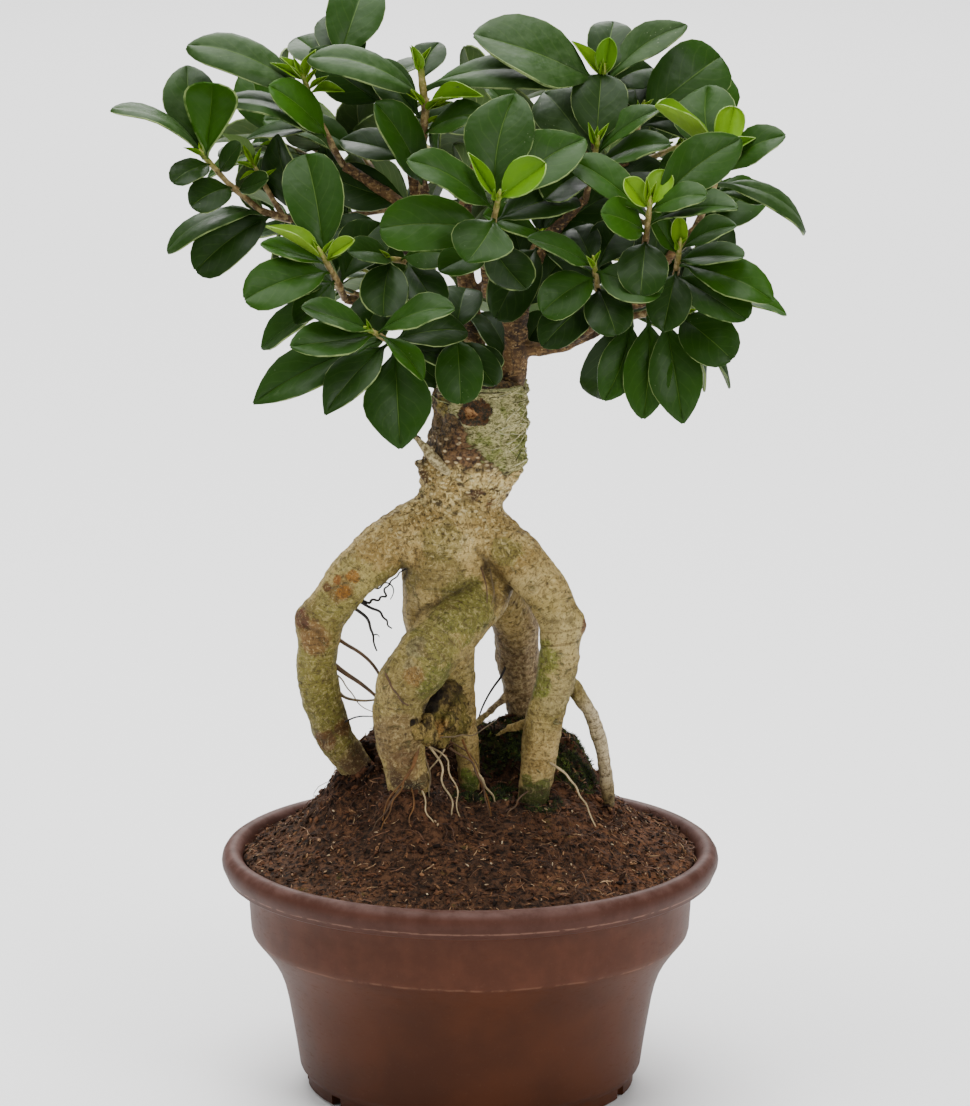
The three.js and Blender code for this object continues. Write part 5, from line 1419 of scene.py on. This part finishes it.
# share of the length and share of the full width at each cross-section of a blade
OVAL = [(0, 0.05), (0.09, 0.04), (0.14, 0.12), (0.19, 0.34), (0.27, 0.60), (0.38, 0.82), (0.5, 0.96),
        (0.62, 1.0), (0.74, 0.96), (0.84, 0.84), (0.92, 0.62), (0.972, 0.34), (1.0, 0.05)]
SLENDER = [(0, 0.05), (0.09, 0.04), (0.14, 0.10), (0.2, 0.30), (0.29, 0.57), (0.40, 0.82), (0.51, 0.97),
           (0.60, 1.0), (0.71, 0.95), (0.81, 0.79), (0.90, 0.56), (0.966, 0.29), (1.0, 0.05)]
BLUNT = [(0, 0.05), (0.08, 0.04), (0.12, 0.14), (0.18, 0.40), (0.26, 0.64), (0.37, 0.84), (0.5, 0.96),
         (0.62, 1.0), (0.74, 0.98), (0.86, 0.87), (0.94, 0.67), (0.985, 0.39), (1.0, 0.10)]
OBOVATE = [(0, 0.06), (0.08, 0.07), (0.15, 0.16), (0.24, 0.32), (0.35, 0.50), (0.47, 0.68), (0.58, 0.83),
           (0.68, 0.94), (0.77, 1.0), (0.85, 0.98), (0.92, 0.86), (0.97, 0.62), (1.0, 0.30)]
DRAWN = [(0, 0.05), (0.09, 0.04), (0.14, 0.10), (0.2, 0.28), (0.3, 0.57), (0.42, 0.83), (0.53, 0.97),
         (0.62, 1.0), (0.72, 0.93), (0.81, 0.75), (0.89, 0.52), (0.95, 0.28), (1.0, 0.03)]
POINTED = [(0, 0.07), (0.07, 0.07), (0.13, 0.20), (0.21, 0.50), (0.31, 0.79), (0.41, 0.95), (0.51, 1.0),
           (0.61, 0.93), (0.71, 0.77), (0.81, 0.54), (0.90, 0.31), (0.96, 0.14), (1.0, 0.02)]


def choose(mesh, wanted):
    """Selects, in edit mode, the vertices whose place satisfies wanted."""
    shell = bmesh.from_edit_mesh(mesh)
    for vertex in shell.verts:
        vertex.select_set(False)
    for vertex in shell.verts:
        if wanted(vertex.co):
            vertex.select_set(True)
    shell.select_flush_mode()
    bmesh.update_edit_mesh(mesh)


def blade(name, outline, arch, fold, ripple=0.0, twist=0.0, roll=0.012, curl=0.0, bend=0.0):
    """One leaf, 1 long and half as wide, from a grid: its rows take the outline's widths, its
    halves fold up along the midrib, and it arches. The faces below get the second material.
    Rows that are done stand apart, so that they aren't picked again with one that they meet."""
    rows = len(outline) - 1
    bpy.ops.mesh.primitive_grid_add(x_subdivisions=rows, y_subdivisions=BLADE_COLUMNS, size=1)
    leaf = bpy.context.object
    leaf.name = name
    mesh = leaf.data
    bpy.ops.object.mode_set(mode="EDIT")
    bpy.context.tool_settings.mesh_select_mode = (True, False, False)
    for side in (-1, 1):
        choose(mesh, lambda co: abs(co.y - side * 0.125) < 0.01)
        bpy.ops.transform.translate(value=(0, -side * 0.08, 0))
        choose(mesh, lambda co: co.y * side > 0.49)
        bpy.ops.transform.translate(value=(0, 0, -roll))
    choose(mesh, lambda co: abs(co.y) < 0.01)
    bpy.ops.transform.translate(value=(0, 0, -0.008))
    for i, (share, width) in enumerate(outline):
        now = i / rows - 0.5
        choose(mesh, lambda co: abs(co.x - now) < 0.2 / rows)
        bpy.ops.transform.resize(value=(1, width / 2, 1), center_override=(now, 0, 0))
        choose(mesh, lambda co: abs(co.x - now) < 0.2 / rows)
        bpy.ops.transform.translate(value=(BLADE_APART + share - now, 0, 0))
    bpy.ops.mesh.select_all(action="SELECT")
    bpy.ops.transform.translate(value=(-BLADE_APART, 0, 0))
    bpy.ops.object.mode_set(mode="OBJECT")
    points = coordinates(leaf)
    along, out = points[:, 0], points[:, 1]
    out *= 1 / math.hypot(1, fold)
    arched = 4 * along * (1 - along)
    points[:, 2] += fold * np.abs(out) + arch * arched - curl * np.maximum(0, along - 0.7) ** 2
    points[:, 2] += ripple * (np.abs(out) * 4) ** 2 * np.sin(along * 10 + np.sign(out) * 1.1)
    out += bend * arched
    if twist:
        turn = twist * (along - 0.15)
        rise = points[:, 2] - arch * arched
        points[:, 1] = out * np.cos(turn) - rise * np.sin(turn)
        points[:, 2] += out * np.sin(turn) + rise * (np.cos(turn) - 1)
    set_coordinates(leaf, points)
    wall = leaf.modifiers.new("thickness", "SOLIDIFY")
    wall.thickness = BLADE_THICKNESS
    wall.offset = 0
    wall.material_offset = 1
    leaf.data.materials.append(leaf_upper)
    leaf.data.materials.append(leaf_under)
    apply_modifiers(leaf)
    smooth(leaf, 60)
    return leaf


def leaf_lines(finish, inner, outer, tip):
    """Over a leaf: how far it is off the midrib, the midrib itself, and the side veins."""
    where = finish.node("ShaderNodeUVMap", {"uv_map": "UVMap"}).outputs[0]
    along, across = finish.split(where)[:2]
    off_rib = abs(across - 0.5)
    rib = off_rib.ramp(outer, inner) * along.ramp(1.0, tip)
    slanting = along * 9.0 - off_rib * 7.0
    return off_rib, rib, abs(slanting.math("FRACT", slanting) - 0.5).ramp(0.09, 0.02)


upper = Finish("leaf upper face")
off_rib, rib, veins = leaf_lines(upper, 0.010, 0.030, 0.80)
veins = veins * off_rib.ramp(0.45, 0.30)
spot = upper.place()
cloudy = upper.speckle(spot, 60, 4, 0.6)
fine = upper.speckle(spot, 900, 3, 0.6)
dents = upper.speckle(spot, 130, 2, 0.5)
edge = off_rib.ramp(0.484, 0.497) * upper.speckle(spot, 130, 3).ramp(0.35, 0.6)
# waxy bloom and painted sheen: a pale grey-green laid on the leaves marked for it, most on the upturned top
# leaves
bloom = upper.mark("bloom") * (0.25 + 0.75 * upper.speckle(spot, 150, 4, 0.65).ramp(0.35, 0.65))
waxy_bloom_and_sheen = bloom.clamped()
dust = upper.cells(spot, 520).ramp(0.14, 0.07) * cloudy.ramp(0.56, 0.7)
ageing = upper.graded(
    upper.mark("tone"), (0.0, (112, 148, 10)), (0.16, (84, 128, 9)), (0.45, (44, 82, 6)),
    (0.72, (30, 60, 5)), (1.0, (20, 41, 4)))
lighter = upper.mix(0.5, ageing, srgb(104, 132, 58))
tint = upper.painted(
    ageing,
    (cloudy.ramp(0.3, 0.7) * 0.4, upper.mix(0.5, ageing, srgb(12, 26, 5))),
    (rib * 0.7, lighter),
    (veins * 0.10, lighter),
    (edge * 0.75, upper.mix(0.75, ageing, srgb(158, 176, 110))),
    (waxy_bloom_and_sheen * 0.13, (112, 130, 96)),
    (dust * 0.35, (150, 160, 128)))
upper.relief((rib, -0.35, 0.0008), (veins, -0.10, 0.0004), (cloudy, 0.25, 0.0008), (dents, 0.35, 0.0016),
             (fine, 0.08, 0.0001))
leaf_upper = upper.surface(
    Base_Color=tint, Roughness=(0.30 + 0.10 * cloudy + 0.12 * waxy_bloom_and_sheen + 0.08 * fine).clamped(),
    Specular_IOR_Level=0.12)

under = Finish("leaf underside")
rib, veins = leaf_lines(under, 0.012, 0.034, 0.85)[1:]
cloudy = under.speckle(under.place(), 90, 4, 0.6)
ageing = under.graded(
    under.mark("tone"), (0.0, (130, 166, 34)), (0.3, (98, 134, 42)), (0.65, (72, 98, 42)),
    (1.0, (60, 82, 38)))
tint = under.painted(
    ageing,
    (cloudy.ramp(0.3, 0.7) * 0.4, (78, 98, 50)),
    ((rib * 0.8 + veins * 0.15).clamped(), (134, 146, 88)))
under.relief((rib, 0.5, 0.0008), (veins, 0.12, 0.0004), (cloudy, 0.2, 0.0006))
leaf_under = under.surface(Base_Color=tint, Roughness=0.6, Specular_IOR_Level=0.25)

stem = Finish("green twig")
grain = stem.speckle(stem.place(), 380, 4, 0.6)
ageing = stem.graded(
    stem.mark("tone"), (0.0, (122, 148, 28)), (0.08, (104, 116, 34)), (0.22, (118, 106, 54)),
    (0.5, (98, 76, 42)), (1.0, (66, 45, 26)))
tint = stem.painted(
    ageing,
    (grain.ramp(0.46, 0.62) * 0.65, (168, 146, 98)),
    (grain.ramp(0.42, 0.34) * 0.6, (52, 36, 20)))
stem.relief((grain, 0.5, 0.0004))
twig_material = stem.surface(Base_Color=tint, Roughness=0.55, Specular_IOR_Level=0.3)

BLADES = {
    "oval": (OVAL, dict(arch=0.08, fold=0.22, ripple=0.012, curl=0.2)),
    "wavy": (OVAL, dict(arch=0.09, fold=0.16, ripple=0.032, curl=0.5)),
    "turned": (SLENDER, dict(arch=0.10, fold=0.18, ripple=0.016, twist=0.42, bend=0.03)),
    "turned_back": (BLUNT, dict(arch=0.08, fold=0.24, ripple=0.014, twist=-0.38, bend=-0.02)),
    "blunt": (BLUNT, dict(arch=0.085, fold=0.16, ripple=0.024, curl=0.6)),
    "sickle": (SLENDER, dict(arch=0.07, fold=0.28, ripple=0.02, twist=-0.2, bend=0.06)),
    "dished": (BLUNT, dict(arch=0.02, fold=0.34, ripple=0.03, roll=-0.01, bend=-0.03)),
    "drawn": (DRAWN, dict(arch=0.08, fold=0.26, ripple=0.02, curl=0.3)),
    "hooded": (OVAL, dict(arch=0.13, fold=0.05, ripple=0.006, roll=0.035, curl=0.4)),
    "cupped": (OVAL, dict(arch=0.05, fold=0.70, ripple=0.03, roll=-0.02, curl=-0.5)),
    "boat": (POINTED, dict(arch=0.03, fold=1.1, ripple=0.02, twist=0.3, roll=-0.01, bend=0.03)),
    "heart": (OBOVATE, dict(arch=0.04, fold=0.62, ripple=0.05, roll=-0.03, curl=-3.2)),
    "spear": (POINTED, dict(arch=0.04, fold=1.3, twist=0.4, roll=0)),
}
blades = {name: blade("blade_" + name, outline, **form) for name, (outline, form) in BLADES.items()}


def draw(seed):
    """A number from 0 to 1 that is always the same for the same seed."""
    value = math.sin(seed * 12.9898) * 43758.5453
    return value - math.floor(value)


def direction(clock, lean):
    """The way at a clock angle as the camera sees it, leaning to the front, in degrees."""
    c, l = math.radians(clock), math.radians(lean)
    return Vector((math.cos(c) * math.cos(l), -math.sin(l), math.sin(c) * math.cos(l)))


def seat_on_limb(start, following):
    """The bark's point nearest to start, a fit gap off it."""
    nearest = None
    for limb in LIMBS:
        for i in range(1, len(limb)):
            a, b = Vector(limb[i - 1][:3]), Vector(limb[i][:3])
            share = min(1, max(0, (start - a).dot(b - a) / (b - a).length_squared))
            centre = a.lerp(b, share)
            if nearest is None or (start - centre).length < nearest[0]:
                thickness = limb[i - 1][3] * (1 - share) + limb[i][3] * share
                at_end = i == len(limb) - 1 and share > 0.9
                tangent = (b - a).normalized()
                nearest = (start - centre).length, b if at_end else centre, tangent, thickness, at_end
    centre, tangent, thickness, at_end = nearest[1:]
    if at_end:
        return centre + tangent * FIT_GAP
    facing = following - centre
    facing = (facing - tangent * facing.dot(tangent)).normalized()
    return centre + facing * (thickness + FIT_GAP)


def back_from_bud(twig, back):
    """The place on the twig that lies so far back from its bud."""
    for i in range(len(twig) - 1, 0, -1):
        step = (twig[i] - twig[i - 1]).length
        if back <= step:
            return twig[i].lerp(twig[i - 1], back / step)
        back -= step
    return twig[0].copy()


def leaf_place(twig, outward, row, turn, size):
    """Base, way and face of a leaf and its size, as the shoot's solid has them."""
    back, clock, lean, length, width, up = row
    along = direction(clock + turn[1], lean + turn[0])
    face = outward * math.cos(math.radians(up))
    face.z += math.sin(math.radians(up))
    face = (face - along * face.dot(along)).normalized()
    return back_from_bud(twig, back), along, face, length * size, width * size


def fitted_leaf(tips, twig, outward, row):
    """The leaf in the attitude whose tip is a corner of the solid."""
    best = None
    for size in SIZES:
        for turn in TURNS:
            found = leaf_place(twig, outward, row, turn, size)
            tip = found[0] + found[1] * found[3]
            miss = tips.find(tip * MM)[2] / MM
            if best is None or miss < best[0]:
                best = (miss, found)
            if miss < FOUND_WITHIN:
                return miss, found
    return best


TRIMS = {
    # leaves that the photograph shows in another form than their shoot's solid: how much longer
    # and wider, and the blade where it is more pointed
    ("low_centre", 0): (0.86, 1.05, None), ("top_right", 0): (1.02, 1.6, None),
    ("left_tip", 1): (1.05, 1.1, None), ("centre", 1): (0.9, 0.9, None),
    ("centre", 2): (0.92, 0.9, None), ("right_front", 0): (0.9, 0.9, None),
    ("low_left", 2): (1.0, 0.92, "drawn"), ("low_left", 3): (1.0, 1.0, "drawn"),
    ("low_left", 4): (1.0, 1.06, "drawn"), ("left_front", 4): (1.0, 1.0, "drawn"),
    ("hanging", 2): (1.0, 1.05, "drawn"),
}
KINDS = {
    # age of the leaf, waxy bloom with painted sheen, blades that it may have
    "y": (0.10, 0.0, ["cupped", "boat"]),
    "v": (0.06, 0.0, ["spear"]),
    "h": (0.60, 0.1, ["heart"]),
    "f": (0.54, 0.1, ["oval", "sickle", "wavy"]),
    "g": (0.70, 0.25, ["oval", "blunt", "wavy", "turned_back", "sickle", "turned"]),
    "d": (0.90, 0.15, ["blunt", "turned", "wavy", "dished", "oval", "turned_back", "sickle"]),
    "s": (0.76, 1.0, ["hooded", "turned", "hooded"]),
}


def grow_leaf(name, found, kind, seed, chosen=None):
    """A leaf in its place, with a blade of its kind by chance, or the chosen one."""
    base, along, face, length, width = found
    age, bloom, forms = KINDS[kind]
    form = blades[chosen or forms[int(draw(seed) * 0.999 * len(forms))]]
    mesh = form.data.copy()
    side = face.cross(along)
    turn = Matrix((along * length, side * width * 2, face * length)).transposed().to_4x4()
    turn.translation = base
    mesh.transform(Matrix.Scale(MM, 4) @ turn)
    stamp(mesh, "tone", min(1, max(0, age + 0.14 * (draw(seed + 0.31) - 0.5))))
    stamp(mesh, "bloom", bloom * (0.6 + 0.4 * draw(seed + 0.57)))
    return piece_of(name, mesh)


def grow_twig(name, twig, backs, thickness):
    """The twig with a swelling at each leaf, and its pointed bud."""
    length = sum((b - a).length for a, b in zip(twig, twig[1:]))
    count = max(4, int(length / 2.4))
    path, radii = [], []
    for i in range(count + 1):
        back = length * (1 - i / count)
        node = sum(math.exp(-((back - b - 0.5) / 1.3) ** 2) for b in backs)
        path.append(back_from_bud(twig, back))
        radii.append(thickness * (0.62 + 0.38 * back / length) * (0.86 + 0.22 * min(1, node)))
    ahead = (twig[-1] - twig[-2]).normalized()
    for step, radius in ((0.25, 0.78), (0.6, 0.55), (0.97, 0.22)):
        path.append(twig[-1] + ahead * BUD_LENGTH * step)
        radii.append(TWIG_RADIUS * radius)
    piece = tube(name, path, radii, sides=8)
    piece.data.materials.append(twig_material)
    bud = (twig[-1] + ahead * BUD_LENGTH) * MM
    off_bud = np.array([(vertex.co - bud).length / MM for vertex in piece.data.vertices])
    stamp(piece.data, "tone", np.clip((off_bud - 3) / (0.8 * length + 12), 0, 1))
    stamp(piece.data, "bloom", 0)
    return piece


def sprouts(name, twig, seed, rows):
    """Pointed young leaves that unfold round the bud: rows of distance back, clock, lean, length."""
    made = []
    for i, (back, clock, lean, length) in enumerate(rows):
        along = direction(clock, lean)
        face = Vector((-0.3, -1, 0.5))
        face = (face - along * face.dot(along)).normalized()
        found = (back_from_bud(twig, back), along, face, length, length * 0.36)
        made.append(grow_leaf(f"sprout_{name}_{i}", found, "v", seed + 0.7 * i))
    return made


def build_shoot(name, twig, outward, leaves, seed, thickness=TWIG_RADIUS):
    """A twig with its leaves and young leaves, over the shoot's solid."""
    solid = frame["nodes"]["shoot_" + name].data
    tips = kdtree.KDTree(len(solid.vertices))
    for i, vertex in enumerate(solid.vertices):
        tips.insert(vertex.co, i)
    tips.balance()
    twig[0] = seat_on_limb(twig[0], twig[1])
    parts = [grow_twig("shoot_" + name + "_twig", twig, [leaf[1] for leaf in leaves], thickness)]
    for i, (kind, *row) in enumerate(leaves):
        miss, found = fitted_leaf(tips, twig, outward, row)
        longer, wider, chosen = TRIMS.get((name, i), (1, 1, None))
        found = (*found[:3], found[3] * longer, found[4] * wider)
        if miss < MISSING_BEYOND:
            parts.append(grow_leaf(f"leaf_{name}_{i}", found, kind, seed + 1.7 * i, chosen))
    ahead = (twig[-1] - twig[-2]).normalized()
    bearing = math.degrees(math.atan2(ahead.z, ahead.x))
    tilt = math.degrees(math.asin(-ahead.y))
    pair = [(1, bearing + 24, tilt + 8, 7 + 3 * draw(seed)),
            (0, bearing - 28, tilt - 10, 6 + 3 * draw(seed + 1))]
    parts.extend(sprouts(name, twig, seed, SPROUTS.get(name, pair)))
    shoot = joined(parts)
    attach(shoot, "root")
    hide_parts("shoot_" + name)


for number, (name, (path, leaves)) in enumerate(SHOOTS.items()):
    build_shoot(name, [Vector(p) for p in path], Vector((0, -1, 0)), leaves, seed=11 + 3.3 * number,
                thickness=LEADER_RADIUS if name == "leader" else TWIG_RADIUS)


# Shoots inside, at the sides and at the back: four or three leaves each, which spiral down from
# the bud by the golden angle and open wider with age, mostly old and dark.

FILL_SHOOTS = [
    # branch point, bud point, leaves
    ((-55, 46, 370), (-72, 50, 378), 4), ((-38, 44, 358), (-46, 62, 370), 4),
    ((-30, 41, 352), (-62, 34, 346), 4), ((-20, 38, 345), (-26, 64, 344), 4),
    ((4, 36, 378), (5, 50, 381), 4), ((0, 35, 359), (-18, 52, 374), 4),
    ((0, 35, 359), (24, 50, 374), 4), ((58, 52, 368), (76, 50, 374), 4),
    ((46, 50, 356), (54, 68, 360), 4), ((30, 44, 342), (26, 66, 344), 4),
    ((46, 50, 356), (74, 42, 342), 4), ((-24, 50, 314), (-42, 60, 322), 3),
    ((40, 62, 326), (58, 66, 326), 3), ((-10, 34, 310), (-4, 60, 316), 3),
    ((-40, -9, 346), (-52, 14, 352), 3), ((-60, -13, 351), (-80, 10, 352), 4),
    ((-32, -18, 320), (-54, -2, 326), 3), ((-34, -6, 364), (-44, 18, 378), 3),
    ((-38, -6, 367), (-74, 12, 380), 3), ((-16, -6, 328), (-28, -26, 331), 3),
    ((70, -14, 322), (88, 6, 322), 4), ((51, -10, 310), (60, 14, 314), 3),
    ((72, -10, 332), (86, 16, 340), 4), ((36, 2, 358), (26, 18, 372), 3),
    ((50, 5, 368), (82, 20, 378), 3), ((27, -1, 340), (28, -24, 350), 4),
]
CROWN_MIDDLE_Y = 36
GOLDEN_ANGLE = 137.5


def spiral(axis, kinds, seed):
    """Leaves of these kinds that spiral back from the bud, as rows like those in SHOOTS."""
    across = Vector((0, 0, 1)).cross(axis).normalized()
    over = axis.cross(across)
    rows = []
    for i, kind in enumerate(kinds):
        turn = math.radians(GOLDEN_ANGLE * i + 360 * draw(seed))
        spread = math.radians(42 + 11 * i)
        along = (axis * math.cos(spread) + across * math.cos(turn) * math.sin(spread)
                 + over * math.sin(turn) * math.sin(spread))
        length = 33 + 10 * draw(seed + 0.37 * (i + 1))
        width = length * (0.46 + 0.08 * draw(seed + 0.61 * (i + 1)))
        up = 35 + 20 * draw(seed + 0.83 * (i + 1))
        rows.append((kind, 1 + 5 * i, math.degrees(math.atan2(along.z, along.x)),
                     math.degrees(math.asin(-along.y)), length, width, up))
    return rows


for number, (start, bud, count) in enumerate(FILL_SHOOTS, 1):
    twig = [Vector(start), Vector(bud)]
    axis = (twig[1] - twig[0]).normalized()
    outward = Vector((bud[0], bud[1] - CROWN_MIDDLE_Y, 0)).normalized()
    kinds = ["f" if draw(number + 0.11) > 0.6 else "g", "g", "d", "d"][:count]
    leaves = spiral(axis, kinds, number)
    build_shoot(f"inner_{number:02d}", twig, outward, leaves, seed=90 + 2.9 * number)


# Leaves on the bare branches deep in the crown: old, dark ones on their own short stalks, which
# close the view through it, and a side twig. Each leaf cuts into as few neighbours as possible.

INNER_LEAVES = [
    # point on the branch's axis, clock angle, lean, length and width
    ((-32, 4, 396), 167, -17, 38, 20), ((-21, -5, 359), 179, -24, 38, 20), ((-62, 34, 346), 32, 41, 34, 18),
    ((26, -1, 337), 40, -3, 40, 22), ((34, 6, 362), 345, -37, 38, 20), ((17, -3, 293), 123, -43, 32, 17),
    ((18, -3, 295), 56, -33, 26, 14), ((-6, -3, 283), 142, -14, 26, 14), ((-61, -13, 352), 127, -13, 38, 20),
    ((49, 5, 367), 3, -15, 30, 16), ((67, -11, 326), 78, -2, 32, 17), ((22, -3, 328), 107, -25, 30, 16),
    ((-26, 2, 391), 16, -41, 32, 17), ((-39, 5, 401), 25, -15, 30, 16), ((27, -1, 340), 336, 15, 28, 15),
    ((19, -4, 317), 49, -14, 28, 15), ((-80, 10, 352), 126, 25, 26, 14),
    ((-3, 30, 332), 60, -55, 36, 19), ((-2, 34, 352), 130, -50, 34, 18), ((2, 36, 366), 40, -50, 32, 17),
    ((0, 22, 315), 200, -50, 34, 18), ((14, 34, 328), 110, -60, 34, 18), ((-20, 38, 345), 250, -55, 32, 17),
    ((1, 18, 307), 330, -55, 30, 16),
]


crowded = shell_of(*(
    piece for piece in bpy.context.scene.objects
    if piece.name.startswith("shoot_") and piece.name.endswith("_twig")))
inner = []
for number, (base, *row) in enumerate(INNER_LEAVES):
    base = Vector(base)
    outward = Vector((0.5 * base.x, base.y - 15, 0)).normalized()
    best = None
    for turn in TURNS:
        found = leaf_place([base - outward, base], outward, (0, *row, 35), turn, 1)
        leaf = grow_leaf(f"inner_leaf_{number}", found, "d", 300 + 1.3 * number)
        cuts = len(shell_of(leaf).overlap(crowded))
        if best is not None and cuts >= best[0]:
            bpy.data.objects.remove(leaf)
            continue
        if best is not None:
            bpy.data.objects.remove(best[1])
        best = (cuts, leaf)
        if cuts == 0:
            break
    inner.append(best[1])
side_twig = [
    Vector(p) for p in ((-72.5, -16.2, 355.5), (-77, -16, 363), (-81, -15.5, 370), (-83.5, -15, 375))]
curled = leaf_place(side_twig, Vector((0, -1, 0)), (2, 132, 6, 20, 10, 125), (0, 0), 1)
inner.append(grow_leaf("side_leaf", curled, "f", 401, "boat"))
inner.append(grow_twig("side_twig", side_twig, [3, 9], 1.4))
inner.extend(sprouts("side", side_twig, 402, [
    (0, 118, 4, 10), (1, 160, 16, 9), (2, 205, 24, 8), (1, 75, 10, 9), (6, 40, 20, 8)]))
inner_leaves = joined(inner)
inner_leaves.name = "inner_leaves"
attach(inner_leaves, "root")

for form in blades.values():
    bpy.data.objects.remove(form)


# Stage: a plain pale floor, soft studio light from overhead and both sides, and the camera at
# the photograph's height and distance, looking down a little.

CAMERA_PLACE, PITCH = (0.006, -2.0, 0.654), 12.3
# the lens in pixels of the photograph, its longer side in pixels, and the film's in millimetres
LENS, LONGER_SIDE, FILM = 5144, 1106, 36

bpy.ops.mesh.primitive_grid_add(x_subdivisions=8, y_subdivisions=8, size=12, location=(0, 3, -0.0006))
floor = bpy.context.object
floor.name = "floor"
place_in_mesh(floor)
paper = Finish("pale floor")
floor.data.materials.append(paper.surface(Base_Color=(0.86, 0.86, 0.86), Roughness=0.8))

world = bpy.data.worlds.new("studio")
bpy.context.scene.world = world
world.use_nodes = True
background = world.node_tree.nodes["Background"]
background.inputs["Color"].default_value = (1, 1, 1, 1)
background.inputs["Strength"].default_value = 0.30


def softbox(name, place, target, size, watts):
    """A square light of a size in metres at a place, facing a target."""
    bpy.ops.object.light_add(type="AREA", location=place)
    light = bpy.context.object
    light.name = name
    light.data.size = size
    light.data.energy = watts
    light.rotation_euler = (Vector(target) - Vector(place)).to_track_quat("-Z", "Y").to_euler()


softbox("overhead softbox", (-0.2, 0.1, 2.2), (0, 0, 0.2), size=2.0, watts=100)
softbox("right softbox", (1.2, -1.4, 1.2), (0, 0, 0.22), size=0.8, watts=22)
softbox("left softbox", (-1.4, -1.2, 1.5), (0, 0, 0.2), size=0.9, watts=8)
softbox("background softbox", (0, 3.6, 3.0), (0, 3.2, 0), size=3.0, watts=260)

bpy.ops.object.camera_add(location=CAMERA_PLACE, rotation=(math.radians(90 - PITCH), 0, 0))
camera = bpy.context.object
camera.data.sensor_width = FILM
camera.data.lens = LENS / LONGER_SIDE * FILM
bpy.context.scene.camera = camera
